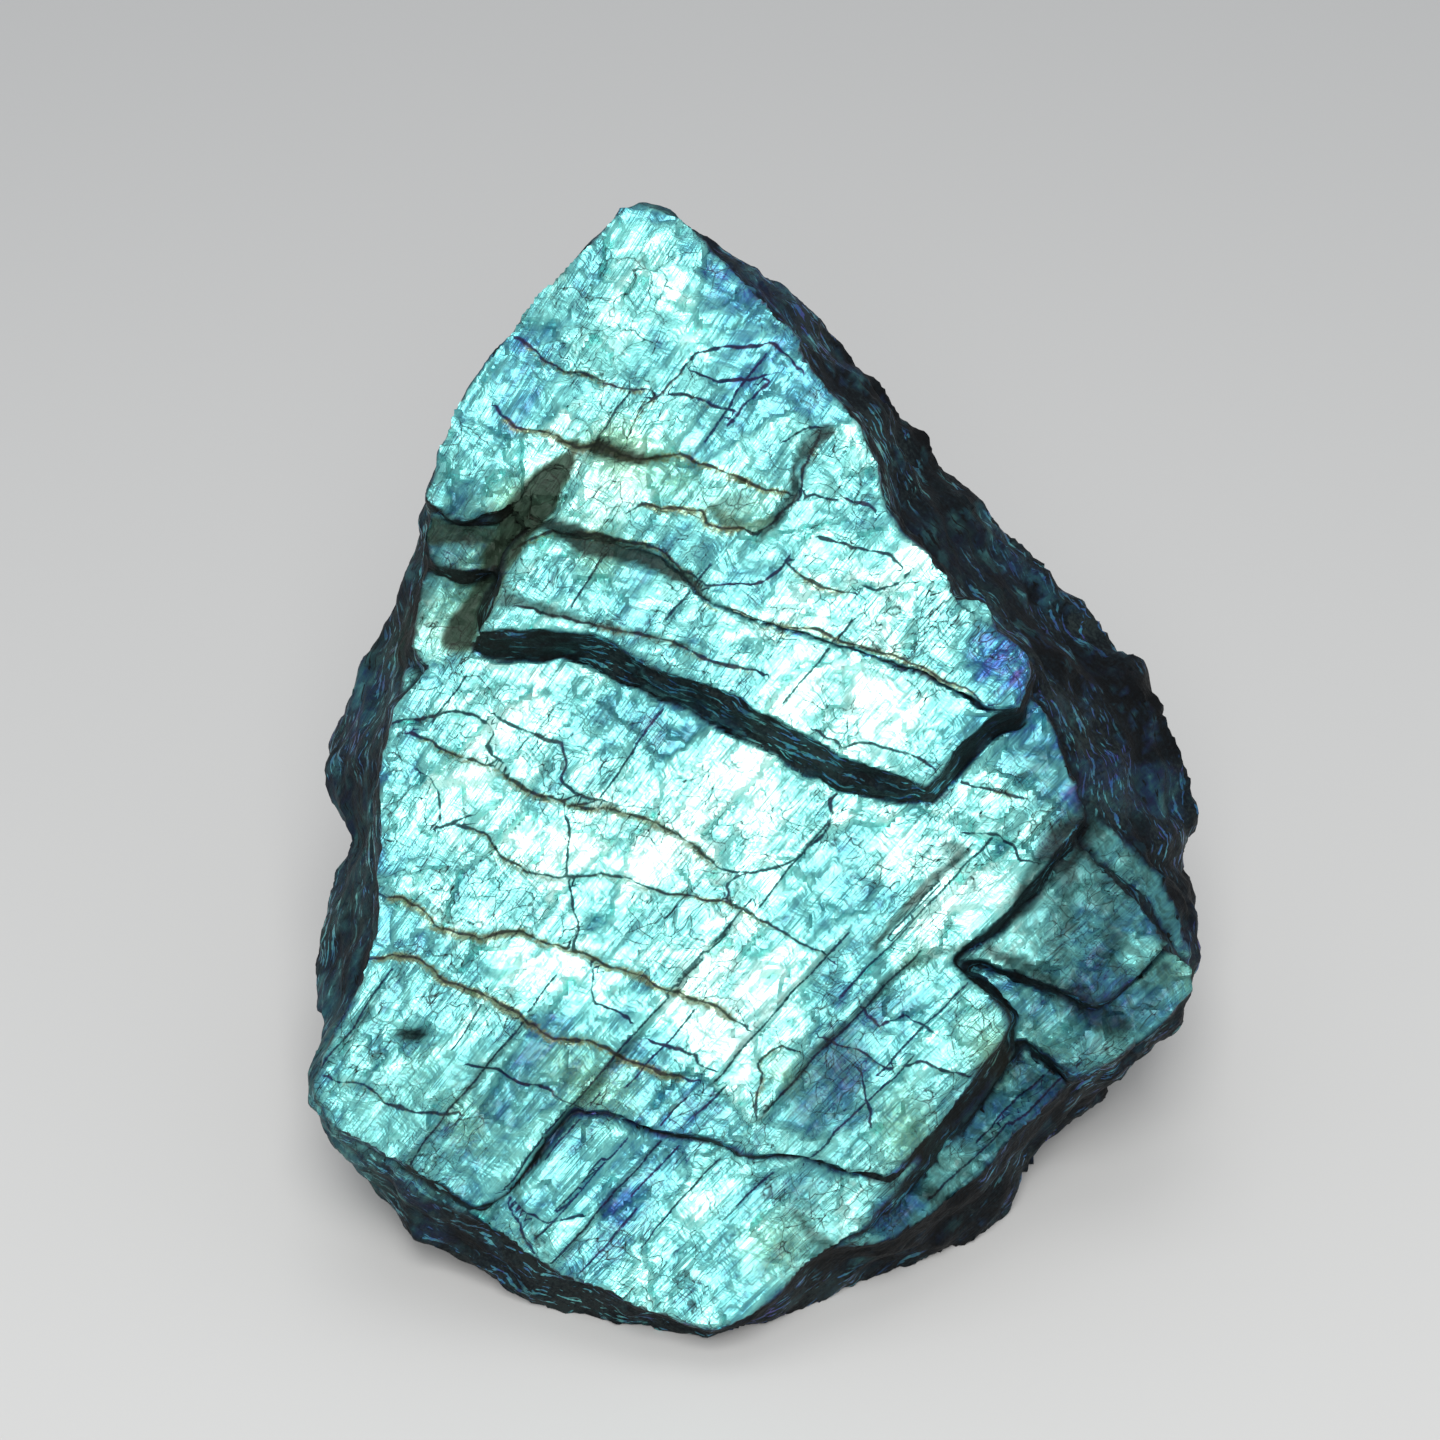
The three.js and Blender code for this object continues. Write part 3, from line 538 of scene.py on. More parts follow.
def striations(q, r, rng):
    """The height of the fine striations: many short low steps."""
    height = np.zeros(len(q))
    for _ in range(STRIATIONS):
        at, middle = rng.uniform(-45, 50), rng.uniform(-65, 60)
        half, step = rng.uniform(3, 14), rng.uniform(0.04, 0.2)
        inside = ease(half, half * 0.8, np.abs(r - middle))
        height += step * inside * lip(q - at, 0.2, rng.uniform(1.0, 3.0))
    return height


def blocks(plane, kinds, rng):
    """The height of tilted blocks of several kinds, laid over each other, and
    four times the height of their middles alone."""
    height, middle = np.zeros(len(plane)), np.zeros(len(plane))
    for stretch, size, lift, tilt in kinds:
        number, slope = flakes(plane * stretch, size, rng)
        height += lift * number + tilt * slope
        middle += number * lift * 4
    return height, middle


def cracks(bent):
    """The height of the wavy cracks, each an upper lip and a groove, the
    distance to the nearest one, signed by its side and plain, and its stain."""
    height, stain = np.zeros(len(bent)), np.zeros(len(bent))
    signed, plain = np.full(len(bent), 9.0), np.full(len(bent), 9.0)
    for depth, up, dirt, line in CRACKS:
        gap, side, ends = beside(bent, line)
        fade = ease(0, 1.5, ends)
        offset = gap * side
        height += 0.8 * up * fade * lip(offset, 0.25, 4.5) * (gap < 6)
        height -= 0.3 * depth * (0.3 + 0.7 * fade) * np.exp(-((gap / 0.3) ** 2))
        near = gap < plain
        signed, plain = np.where(near, offset, signed), np.where(near, gap, plain)
        band = np.where(offset > 0, 0.25, 0.55)
        stain = np.maximum(stain, dirt * fade * np.exp(-((gap / band) ** 2)))
    return height, signed, plain, stain


def bands(uv, bent):
    """How dark the painted shade of the dark bands makes each point, and how olive."""
    dark, earth = np.zeros(len(uv)), np.zeros(len(uv))
    for strength, brown, line in SHADE_BANDS:
        places = np.array(line)
        gap, _, _ = beside(bent, [tuple(place[:2]) for place in line])
        spread = np.hypot(uv[:, :1] - places[:, 0], uv[:, 1:] - places[:, 1]) + 0.3
        share = spread**-3.0
        width = (share * places[:, 2]).sum(1) / share.sum(1)
        here = strength * ease(1.35, 0.75, gap / width)
        dark = np.maximum(dark, here)
        earth = np.maximum(earth, here * brown)
    return dark, earth


def pits(bent):
    """The height of the small pits, below nought, and the painted shade in them."""
    height, painted_shade = np.zeros(len(bent)), np.zeros(len(bent))
    for u, v, long, wide, deep in PITS:
        du, dv = bent[:, 0] - u, bent[:, 1] - v
        dip = np.exp(-((du / long) ** 2) - (dv / wide) ** 2)
        height -= deep * dip
        painted_shade = np.maximum(painted_shade, ease(0.15, 0.5, dip) * min(deep, 1))
    return height, painted_shade


def face_relief(uv, noise, rng):
    """How far the bright face stands out at each point, in millimetres: the
    sum of its waves, striation steps, tilted blocks, cracks and pits. Also
    the marks that go with them: the distances to the nearest crack and the
    nearest straight step, the stain, the block and the painted shade."""
    flat = np.column_stack([uv, np.zeros(len(uv))])
    bent = uv + 0.4 * np.stack([noise(flat, 1.7, 3), noise(flat + 40, 1.7, 3)], 1)
    height = 0.4 * noise(flat + 11, 15) + 0.2 * noise(flat + 5, 6)
    q, r = fan(uv)
    q = q + 0.25 * noise(flat + 3, 9) + 0.10 * noise(flat + 8, 1.5)
    stepped, step_side, step_gap = long_steps(q, r)
    height += stepped + striations(q, r, rng)

    # Blocks, cut by striations one way and by cross breaks the other, and
    # crumbs where the ground is broken.
    lean = uv[:, 1] + 0.42 * uv[:, 0] + 1.3 * noise(flat + 21, 9, 2)
    plane = np.column_stack([q, lean]) + 0.3 * (bent - uv)
    raised, block = blocks(plane, BLOCKS, rng)
    crumbs, _ = blocks(plane, CRUMBS, rng)
    height += raised + np.clip(patch(uv, BROKEN), 0, 1) * crumbs

    # Wrinkles and grain.
    stretched = np.column_stack([q * 0.6, r + 0.5 * q, np.zeros(len(uv))])
    ridges = np.clip(1 - np.abs(noise(stretched + 2, 2.4, 2)) * 3, 0, 1)
    height += 0.12 * (1 - ridges**2) + 0.10 * noise(flat + 60, 0.9, 2)

    cracked, crack_side, crack_gap, stain = cracks(bent)
    dark, earth = bands(uv, bent)
    pitted, painted_shade = pits(bent)
    height += cracked + pitted - 0.25 * dark * (1 + noise(flat + 37, 1.2, 2))
    marks = {
        "crack_side": crack_side,
        "crack_gap": np.minimum(crack_gap, 6),
        "step_side": np.clip(step_side, -6, 6),
        "step_gap": np.minimum(step_gap, 6),
        "stain": stain,
        "block": block,
        "painted_shade": np.maximum(painted_shade, dark * (0.95 + 0.3 * noise(flat + 47, 0.9, 2))),
        "earth": earth,
    }
    return height, marks


def soften(values, edges, times):
    """Each vertex's value drawn towards its neighbours'."""
    ends = np.concatenate([edges, edges[:, ::-1]])
    count = np.bincount(ends[:, 0], minlength=len(values))
    for _ in range(times):
        near = np.bincount(ends[:, 0], values[ends[:, 1]], len(values)) / count
        values = 0.4 * values + 0.6 * near
    return values


def side_relief(face, noise, rng):
    """How far the sides stand out at each point, in millimetres: slabs along
    the cleavage, broken into blocks and chips, each with its own tilt, and
    hollows over them. Also a random number for each slab, block and chip."""
    bent = face * [1, 1, 1.7]
    bent = bent + 1.2 * np.stack([noise(face + k, 6, 2) for k in (3, 43, 83)], 1)
    large, slope = flakes(bent, 8.0, rng)
    total = 0.70 * large + 0.12 * slope
    block, slope = flakes(bent + 0.5 * noise(face + 5, 2, 2)[:, None], 3.4, rng)
    total += 0.24 * block + 0.12 * slope
    chip, slope = flakes(bent, 1.5, rng)
    total += 0.06 * chip + 0.10 * slope
    total = 0.55 * total + 0.15 * noise(face + 31, 2.0, 2) - 1.1
    for size, depth in BOWLS:
        total += depth * scoops(bent, size, rng)
    return total, large, block, chip


def solid_arrays(node):
    """The corners and triangles of a node's solid, in millimetres."""
    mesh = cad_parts[node].data
    mesh.calc_loop_triangles()
    corners = np.empty(len(mesh.vertices) * 3)
    mesh.vertices.foreach_get("co", corners)
    triangles = np.empty(len(mesh.loop_triangles) * 3, np.int32)
    mesh.loop_triangles.foreach_get("vertices", triangles)
    corners = corners.reshape(-1, 3) / MM
    merged, index = np.unique(corners.round(4), axis=0, return_inverse=True)
    return merged, index.reshape(-1)[triangles].reshape(-1, 3)


def squeeze(face, reach, stretch):
    """The chunk drawn in perspective, so that what is behind is smaller."""
    w = 1 - face[:, 2:] / reach
    return face / w * [1, 1, stretch]


def unsqueeze(drawn, reach, stretch):
    depth = drawn[:, 2:] / stretch
    w = 1 / (1 + depth / reach)
    return np.concatenate([drawn[:, :2] * w, depth * w], 1)


def vertex_array(mesh):
    values = np.empty(len(mesh.vertices) * 3)
    mesh.vertices.foreach_get("co", values)
    return values.reshape(-1, 3)


def edge_array(mesh):
    ends = np.empty(len(mesh.edges) * 2, np.int32)
    mesh.edges.foreach_get("vertices", ends)
    return ends.reshape(-1, 2)


def normal_array(mesh):
    values = np.empty(len(mesh.vertices) * 3)
    mesh.vertex_normals.foreach_get("vector", values)
    return values.reshape(-1, 3)


def move_vertices(mesh, points):
    mesh.vertices.foreach_set("co", points.astype(np.float32).ravel())
    mesh.update()


def give(mesh, name, values):
    """Stores one number or one vector for each vertex."""
    kind = "FLOAT" if values.ndim == 1 else "FLOAT_VECTOR"
    field = "value" if values.ndim == 1 else "vector"
    layer = mesh.attributes.new(name, kind, "POINT")
    layer.data.foreach_set(field, values.astype(np.float32).ravel())


def fine_mesh(cell, reach, stretch):
    """The solid's surface as an even mesh of small quads, finest in front."""
    corners, triangles = solid_arrays(NODE)
    rough = bpy.data.meshes.new("rough")
    rough.from_pydata(squeeze(to_face(corners), reach, stretch), [], triangles)
    holder = bpy.data.objects.new("rough", rough)
    bpy.context.scene.collection.objects.link(holder)
    remesh = holder.modifiers.new("remesh", "REMESH")
    remesh.mode = "VOXEL"
    remesh.voxel_size = cell
    graph = bpy.context.evaluated_depsgraph_get()
    mesh = bpy.data.meshes.new_from_object(holder.evaluated_get(graph))
    bpy.data.objects.remove(holder)
    bpy.data.meshes.remove(rough)
    face = unsqueeze(vertex_array(mesh), reach, stretch)
    move_vertices(mesh, from_face(face))
    return mesh


def fill(face, out):
    """Fills the valley's pocket and raises the ground beside the step across
    the toe, changing the depths in place. Gives which points are in the
    pocket."""
    u, v, wide, high = POCKET
    near = np.hypot(face[:, 0] - u, face[:, 1] - v) < wide
    pocket = near & (face[:, 2] > -8) & (out > -0.5)
    face[:, 2] = np.where(pocket, np.maximum(face[:, 2], high), face[:, 2])
    gap, _, _ = beside(face[:, :2], TOE)
    low = (gap < TOE_REACH) & (face[:, 2] > -2.5) & (out > -0.3)
    ground = TOE_HEIGHT - TOE_DROP * ease(0, TOE_REACH, gap)
    face[:, 2] = np.where(low, np.maximum(face[:, 2], ground), face[:, 2])
    return pocket


def stand(moved, face, points, base, noise):
    """The moved points in the row frame, with nothing under the floor and the
    flat break kept within half a millimetre of it."""
    placed = from_face(moved)
    rest = base * 0.25 * (1 + noise(face + 9, 4, 2))
    placed[:, 2] = np.maximum(placed[:, 2] + rest * ease(0.3, 0, points[:, 2]), 0)
    placed[:, 2] = np.where(base > 0.5, np.minimum(placed[:, 2], 0.45), placed[:, 2])
    return placed


def paint(mesh, moved, face, out, front, breaks, marks, noise, rng):
    """Stores what the surface needs to know at each point: how much it flashes
    and in what tone, how green and how rough it is, and the face's marks."""
    large, chunk, chip = breaks
    facing = to_face(normal_array(mesh) + FACE_ORIGIN)[:, 2]
    uv = moved[:, :2]
    flat = np.column_stack([uv, np.zeros(len(uv))])
    cloud = noise(flat + 90, 9, 3)
    pale, blue, olive, dull = (patch(uv, spots) for spots in (PAINTED_HIGHLIGHTS, BLUE, OLIVE, DULL))
    dull = np.clip(dull, 0, 1)
    block, earth = marks.pop("block"), marks.pop("earth")
    painted_shade = np.clip(marks.pop("painted_shade"), 0, 0.93)

    # How much each place flashes: along the cleavage fully, and on the rough
    # sides and the back only here and there.
    gleam = ease(0.30, 0.70, out) * ease(0.15, 0.65, facing)
    # Painted light: flash on the sides, and on some walls that stand in shade.
    lit = np.clip(patch(uv, FLANK), 0, 1.2) * ease(-26, -14, face[:, 2])
    glint = ease(0.25, 0.6, chunk) * ease(-0.5, 0.5, chip) + 0.7 * ease(0.7, 0.9, chip)
    aside = 0.25 * glint * ease(0.0, 0.6, facing + 0.3 * large)
    aside += lit * (0.35 + 0.3 * chunk + 0.35 * ease(0, 0.7, facing))
    behind = ease(0.6, 0.9, -facing) * ease(-0.2, 0.5, large + 0.4 * chunk)
    aside = 0.45 * aside + 0.36 * behind
    flash = gleam * front + np.clip(aside, 0, 1) * (1 - front)
    # Painted shade in the pits and the dark bands, and the dull patches, dim the flash.
    flash *= (1 - dull * (0.50 + 0.45 * noise(flat + 33, 2.0, 2))) * (1 - painted_shade)

    # Its tone, from violet to near white, paler under the painted highlights, and how green
    # it is.
    pale = ease(0.25, 1.1, pale + 0.5 * noise(flat + 81, 3.4, 3))
    blue = ease(0.2, 1.2, blue + 0.4 * noise(flat + 61, 3.0, 3))
    tone = 0.54 + 0.25 * pale - 0.27 * blue + 0.12 * cloud + 0.13 * block - 0.08 * dull
    tone_aside = 0.24 + 0.2 * cloud + 0.16 * lit + 0.12 * chip
    tone = tone * front + tone_aside * (1 - front)
    green = 0.5 * np.clip(olive, 0, 1.5) + 0.3 * noise(flat + 44, 7, 2) * front
    green = np.maximum(green, 0.9 * earth * front)

    # The grain's own place, and the same place bent, for the web of cracks.
    q, r = fan(uv)
    grain = np.stack([q, r, moved[:, 2]], 1)
    web = grain + 1.5 * np.stack([noise(face + k, 2.6, 3) for k in (13, 53, 93)], 1)
    marks["crack_gap"] += 6 * (1 - front)
    marks["step_gap"] += 6 * (1 - front)
    marks["stain"] *= front
    marks |= {
        "grain": grain,
        "web": web,
        "scale": flakes(web * WEB_STRETCH, 1.0, rng)[0],
        "front": front,
        "flash": flash,
        "tone": tone,
        "green": green,
        "rough_patch": dull * front,
        "mottle": noise(face + 25, 4.0, 3),
    }
    for name, values in marks.items():
        give(mesh, name, values)


def carve(mesh, seed):
    """Moves every vertex to its place on the broken stone, and stores what
    the surface needs to know about where it is."""
    rng = np.random.default_rng(seed)
    noise = Noise(seed)
    points = vertex_array(mesh)
    normals = normal_array(mesh)
    face = to_face(points)
    facing = to_face(normals + FACE_ORIGIN)
    out = facing[:, 2]

    # How much each point belongs to the flat break, the bright face, the
    # back and the sides.
    base = ease(-0.80, -0.95, normals[:, 2]) * ease(1.5, 0.2, points[:, 2])
    front = ease(0.58, 0.84, out) * ease(-19, -15, face[:, 2])
    back = ease(-0.35, -0.6, out) * (1 - base)
    side = (1 - front) * (1 - base)
    pocket = fill(face, out)
    front, out = np.where(pocket, 1, front), np.where(pocket, 1, out)

    # The face moves along its own normal, and the sides outwards.
    relief, marks = face_relief(face[:, :2], noise, rng)
    rough, large, chunk, chip = side_relief(face, noise, rng)
    rough = soften(rough, edge_array(mesh), 1)
    moved = face.copy()
    moved[:, 2] += relief * front
    layered = face * [1, 1, 2.5]
    for axis in (0, 1):
        ragged = 0.38 * noise(layered + 200 + 50 * axis, 3.4, 2)
        ragged += 0.14 * noise(layered + 30, 1.0)
        moved[:, axis] += ragged * (1 - back) * (1 - base)
    deep = ease(-2, -20, face[:, 2])
    moved += facing * (rough * side * (0.28 + 0.62 * deep))[:, None]
    move_vertices(mesh, stand(moved, face, points, base, noise) * MM)

    paint(mesh, moved, face, out, front, (large, chunk, chip), marks, noise, rng)


class Value:
    """A number in a material that can be used in sums."""

    def __init__(self, surface, socket):
        self.surface, self.socket = surface, socket

    def _sum(self, operation, *others, clamp=False):
        made = self.surface.node(
            "ShaderNodeMath",
            dict(enumerate((self, *others))),
            operation=operation,
            use_clamp=clamp,
        )
        return Value(self.surface, made.outputs[0])

    def __add__(self, other):
        return self._sum("ADD", other)

    def __sub__(self, other):
        return self._sum("SUBTRACT", other)

    def __mul__(self, other):
        return self._sum("MULTIPLY", other)

    def __rsub__(self, other):
        return (self * -1) + other

    __radd__, __rmul__ = __add__, __mul__

    def size(self):
        return self._sum("ABSOLUTE")

    def most(self, other):
        return self._sum("MAXIMUM", other)

    def clip(self):
        return self._sum("ADD", 0.0, clamp=True)

    def rise(self, low, high):
        """Nought at low, one at high, smooth between."""
        made = self.surface.node(
            "ShaderNodeMapRange",
            {
                "Value": self,
                "From Min": min(low, high),
                "From Max": max(low, high),
                "To Min": float(low > high),
                "To Max": float(low < high),
            },
            interpolation_type="SMOOTHSTEP",
        )
        return Value(self.surface, made.outputs["Result"])


class Surface:
    """A material being put together."""

    def __init__(self, name):
        self.material = bpy.data.materials.new(name)
        self.material.use_nodes = True
        self.tree = self.material.node_tree
        self.tree.nodes.clear()

    def node(self, kind, inputs=None, stops=(), **settings):
        """A node of any kind: its settings and a ramp's stops first, then a
        link or a value for each of its sockets. Colours have three parts."""
        made = self.tree.nodes.new(kind)
        for key, value in settings.items():
            setattr(made, key, value)
        while stops and len(made.color_ramp.elements) < len(stops):
            made.color_ramp.elements.new(0.5)
        for index, (place, colour) in enumerate(stops):
            made.color_ramp.elements[index].position = place
            made.color_ramp.elements[index].color = (*colour, 1)
        for key, value in (inputs or {}).items():
            socket = made.inputs[key]
            value = value.socket if isinstance(value, Value) else value
            if isinstance(value, bpy.types.NodeSocket):
                self.tree.links.new(value, socket)
            elif socket.type == "RGBA":
                socket.default_value = (*value, 1)
            else:
                socket.default_value = value
        return made

    def value(self, name):
        made = self.node("ShaderNodeAttribute", attribute_name=name)
        return Value(self, made.outputs["Fac"])

    def vector(self, name, scale, offset=(0, 0, 0)):
        made = self.node("ShaderNodeAttribute", attribute_name=name)
        inputs = {"Vector": made.outputs["Vector"], "Scale": scale, "Location": offset}
        return self.node("ShaderNodeMapping", inputs).outputs["Vector"]

    def noise(self, vector, detail, rough):
        inputs = {"Vector": vector, "Scale": 1.0, "Detail": detail, "Roughness": rough}
        return Value(self, self.node("ShaderNodeTexNoise", inputs).outputs["Fac"])

    def edges(self, vector):
        inputs = {"Vector": vector, "Scale": 1.0}
        made = self.node("ShaderNodeTexVoronoi", inputs, feature="DISTANCE_TO_EDGE")
        return Value(self, made.outputs["Distance"])

    def ramp(self, value, stops):
        made = self.node("ShaderNodeValToRGB", {"Fac": value}, stops)
        return made.outputs["Color"]

    def mix(self, share, first, second):
        inputs = {0: share, 6: first, 7: second}
        return self.node("ShaderNodeMix", inputs, data_type="RGBA").outputs[2]

    def finish(self, shader):
        self.node("ShaderNodeOutputMaterial", {"Surface": shader.outputs["BSDF"]})
        return self.material


def labradorite(settings):
    """The stone's surface: a blue-green flash wherever the surface lies along
    the bright cleavage, and dark grey-green stone everywhere else."""
    s = Surface("labradorite")
    front, flash, tone = s.value("front"), s.value("flash"), s.value("tone")
    green, stain, mottle = s.value("green"), s.value("stain"), s.value("mottle")
    patchy, shed = s.value("rough_patch"), s.value("scale")

    # Streaks along the striations, wrinkles across them, and grit.
    streak = s.noise(s.vector("grain", (1.5, 0.045, 0.3)), 3.0, 0.62)
    fine = s.noise(s.vector("grain", (4.6, 0.42, 1.2), (5, 1, 2)), 1.0, 0.6)
    cross = s.noise(s.vector("web", (0.55, 1.25, 0.9), (3, 8, 4)), 2.0, 0.6)
    grit = s.noise(s.vector("grain", (2.6, 2.6, 2.6)), 2.0, 0.7)
    wrinkle = (cross - 0.5).size().rise(0.022, 0.0) * mottle.rise(-0.3, 0.2)
    scratch = (streak - 0.47).size().rise(0.018, 0.0)
    scratch = scratch * (grit * 0.7 + mottle * 0.6).rise(0.25, 0.5)
    seam = s.edges(s.vector("web", WEB_STRETCH, (1, 4, 2))).rise(0.040, 0.0)
    seam = seam * (fine * 0.6 + mottle * 0.5).rise(0.15, 0.4)
    speck = grit.rise(0.36, 0.30)

    # Thin glints along the cleavage on the dark sides.
    layers = s.noise(s.vector("grain", (0.5, 0.42, 2.9), (2, 6, 3)), 2.0, 0.65)
    glint = layers.rise(0.575, 0.615) * (1 - front)

    # The placed cracks drawn as thin dark lines, and thin lines of painted shade on the
    # walls of the straight steps.
    crack = (s.value("crack_side").size() + (cross - 0.5) * 0.5 + 0.02).rise(0.21, 0.04)
    crack = crack * s.value("crack_gap").rise(0.7, 0.35)
    step = (s.value("step_side").size() + (grit - 0.5) * 0.3).rise(0.15, 0.03)
    step = step * s.value("step_gap").rise(0.7, 0.35)
    lines = crack.most(step * 0.95)

    # How strong the flash is once all of these have dimmed it.
    shade = 1 - 0.4 * wrinkle - 0.6 * scratch - 0.2 * speck - 0.7 * seam
    shade = shade.clip() * (1 - lines * 0.85)
    shade = shade * (1.02 + 0.5 * (streak - 0.5) + 0.2 * (fine - 0.5) + 0.12 * shed)
    shade = shade * (1 - patchy * (cross - 0.42).rise(0.0, 0.22) * 0.6)
    sparkle = glint * (flash * 1.6 + 0.62) * (mottle * 3.5 + 0.65)
    flash = (flash * shade + sparkle).clip()

    # Its colour, from violet through blue and teal to near white.
    tone = tone + 0.4 * (streak - 0.5) + 0.15 * (fine - 0.5) + 0.35 * (cross - 0.5)
    tone = tone + 0.08 * shed - 0.14 * wrinkle - 0.16 * scratch - 0.3 * lines
    tone = tone + 0.22 * glint * (grit - 0.35)
    olive = (green + (grit - 0.5) * 0.5).rise(0.10, 0.65)
    hue = s.mix(olive * 0.7, s.ramp(tone.clip(), HUES), OLIVE_HUE)
    rust = (stain + (grit - 0.5) * 1.4 + mottle * 0.5).rise(0.30, 1.1)
    hue = s.mix(rust * 0.75, hue, RUST_HUE)

    # The stone under the flash.
    stone = s.ramp((mottle * 0.5 + grit).clip(), STONE)
    stone = s.mix((green * 0.8).clip(), stone, EARTH)

    bump = s.node(
        "ShaderNodeBump",
        {"Height": 1.2 * streak + cross, "Distance": settings.relief * MM},
    )
    shader = s.node(
        "ShaderNodeBsdfPrincipled",
        {
            "Base Color": s.mix(flash, stone, hue),
            "Metallic": flash * 0.7,
            "Roughness": 0.56 + 0.10 * fine - 0.24 * flash,
            "IOR": 1.56,
            "Specular IOR Level": 0.1,
            "Coat Weight": flash * 0.2,
            "Coat Roughness": 0.2,
            "Coat IOR": 1.56,
            "Normal": bump.outputs["Normal"],
        },
    )
    return s.finish(shader)


class LabradoriteChunkSettings(bpy.types.PropertyGroup):
    """How the chunk is carved and finished."""

    cell: FloatProperty(
        name="Cell",
        description="Size of the mesh's cells at the bright face, in millimetres",
        default=0.402,
        min=0.3,
        max=3.0,
    )
    reach: FloatProperty(
        name="Reach",
        description="Depth over which the cells double in size, in millimetres",
        default=45.0,
    )
    stretch: FloatProperty(
        name="Stretch",
        description="How much finer the cells are in depth than across",
        default=1.0,
    )
    seed: IntProperty(
        name="Seed",
        description="Starts the random breaks",
        default=11,
    )
    sharp: FloatProperty(
        name="Sharp",
        description="Edges that bend more than this stay sharp",
        default=math.radians(38),
        subtype="ANGLE",
    )
    relief: FloatProperty(
        name="Relief",
        description="Height of the finest relief, in millimetres",
        default=0.2,
    )


class LabradoriteStageSettings(bpy.types.PropertyGroup):
    """The floor, the lights and the camera."""

    floor_colour: FloatVectorProperty(
        name="Floor",
        description="Colour of the floor",
        default=(0.55, 0.545, 0.53),
        subtype="COLOR",
    )
    key: FloatProperty(
        name="Key light",
        description="Power of the light over the bright face",
        default=4.2,
        unit="POWER",
    )
    top: FloatProperty(
        name="Top light",
        description="Power of the light above",
        default=50.0,
        unit="POWER",
    )
    lens: FloatProperty(
        name="Lens",
        description="Focal length of the camera, in millimetres",
        default=85.0,
    )


class OBJECT_OT_labradorite_chunk(bpy.types.Operator):
    """Carve the chunk from its solid and finish it"""

    bl_idname = "object.labradorite_chunk"
    bl_label = "Labradorite Chunk"

    def execute(self, context):
        settings = context.scene.labradorite_chunk
        mesh = fine_mesh(settings.cell, settings.reach, settings.stretch)
        carve(mesh, settings.seed)
        mesh.name = "labradorite"
        mesh.polygons.foreach_set("use_smooth", np.ones(len(mesh.polygons), bool))
        mesh.set_sharp_from_angle(angle=settings.sharp)
        mesh.materials.clear()
        mesh.materials.append(labradorite(settings))
        piece = bpy.data.objects.new("labradorite", mesh)
        context.scene.collection.objects.link(piece)
        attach(piece, "root")
        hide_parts(NODE)
        return {"FINISHED"}


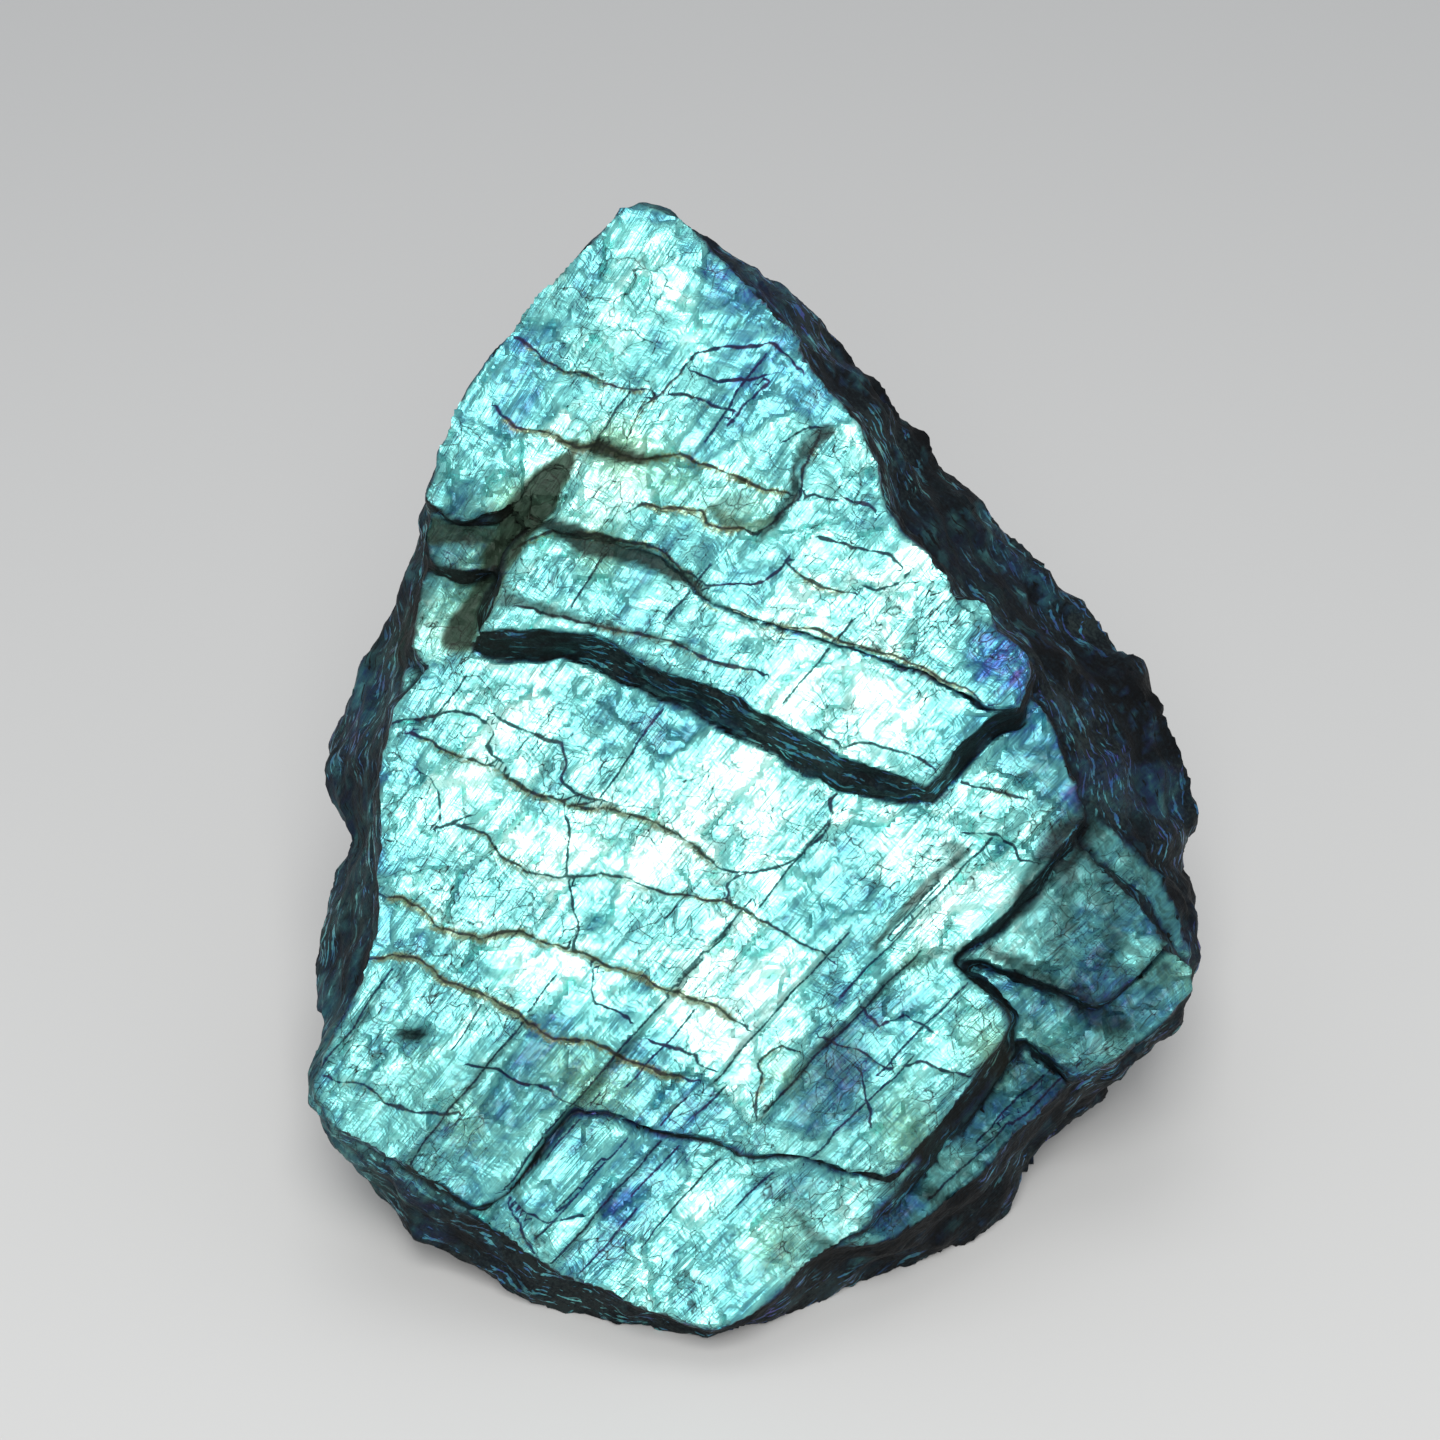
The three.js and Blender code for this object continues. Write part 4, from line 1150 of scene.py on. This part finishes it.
class OBJECT_OT_labradorite_stage(bpy.types.Operator):
    """Put the floor, the lights and the camera around the chunk"""

    bl_idname = "object.labradorite_stage"
    bl_label = "Labradorite Stage"

    def execute(self, context):
        settings = context.scene.labradorite_stage
        scene = context.scene
        self.floor(scene, settings)
        centre = from_face(MIDDLE)[0] * MM
        self.light(scene, "key", centre, KEY_PLACE, KEY_SIZE, settings.key)
        self.light(scene, "top", centre, TOP_PLACE, TOP_SIZE, settings.top)
        world = bpy.data.worlds.new("studio")
        world.use_nodes = True
        background = world.node_tree.nodes["Background"]
        background.inputs["Color"].default_value = SKY
        background.inputs["Strength"].default_value = SKY_STRENGTH
        scene.world = world
        scene.view_settings.view_transform = "Standard"
        data = bpy.data.cameras.new("camera")
        data.lens, data.sensor_width = settings.lens, SENSOR
        camera = bpy.data.objects.new("camera", data)
        scene.collection.objects.link(camera)
        self.aim(camera, centre, CAMERA_PLACE)
        scene.camera = camera
        return {"FINISHED"}

    def floor(self, scene, settings):
        s = Surface("floor")
        shader = s.node(
            "ShaderNodeBsdfPrincipled",
            {"Base Color": settings.floor_colour, "Roughness": 0.8},
        )
        mesh = bpy.data.meshes.new("floor")
        signs = [(-1, -1), (1, -1), (1, 1), (-1, 1)]
        corners = [(FLOOR_REACH * x, FLOOR_REACH * y, 0) for x, y in signs]
        mesh.from_pydata(corners, [], [(0, 1, 2, 3)])
        mesh.materials.append(s.finish(shader))
        floor = bpy.data.objects.new("floor", mesh)
        scene.collection.objects.link(floor)

    def light(self, scene, name, centre, place, size, power):
        data = bpy.data.lights.new(name, "AREA")
        data.shape, data.energy = "RECTANGLE", power
        data.size, data.size_y = size
        lamp = bpy.data.objects.new(name, data)
        scene.collection.objects.link(lamp)
        self.aim(lamp, centre, place)

    def aim(self, thing, centre, place):
        """Stands a thing at its place around the centre, looking at it."""
        azimuth, elevation, distance = place
        a, e = math.radians(azimuth), math.radians(elevation)
        away = Vector((math.sin(a) * math.cos(e), -math.cos(a) * math.cos(e), math.sin(e)))
        thing.location = Vector(centre) + away * distance
        thing.rotation_euler = away.to_track_quat("Z", "Y").to_euler()


class VIEW3D_PT_labradorite(bpy.types.Panel):
    """The chunk's tools, in the sidebar."""

    bl_label = "Labradorite"
    bl_idname = "VIEW3D_PT_labradorite"
    bl_space_type = "VIEW_3D"
    bl_region_type = "UI"
    bl_category = "Labradorite"

    def draw(self, context):
        for settings, operator in (
            (context.scene.labradorite_chunk, "object.labradorite_chunk"),
            (context.scene.labradorite_stage, "object.labradorite_stage"),
        ):
            column = self.layout.column(align=True)
            for name in settings.__annotations__:
                column.prop(settings, name)
            column.operator(operator)


CLASSES = (
    LabradoriteChunkSettings,
    LabradoriteStageSettings,
    OBJECT_OT_labradorite_chunk,
    OBJECT_OT_labradorite_stage,
    VIEW3D_PT_labradorite,
)


def register():
    for cls in CLASSES:
        bpy.utils.register_class(cls)
    bpy.types.Scene.labradorite_chunk = PointerProperty(type=LabradoriteChunkSettings)
    bpy.types.Scene.labradorite_stage = PointerProperty(type=LabradoriteStageSettings)


def unregister():
    del bpy.types.Scene.labradorite_stage
    del bpy.types.Scene.labradorite_chunk
    for cls in reversed(CLASSES):
        bpy.utils.unregister_class(cls)


def main():
    register()
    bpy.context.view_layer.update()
    for operator in (bpy.ops.object.labradorite_chunk, bpy.ops.object.labradorite_stage):
        if operator() != {"FINISHED"}:
            raise RuntimeError("a piece wasn't made")


if __name__ == "__main__":
    main()
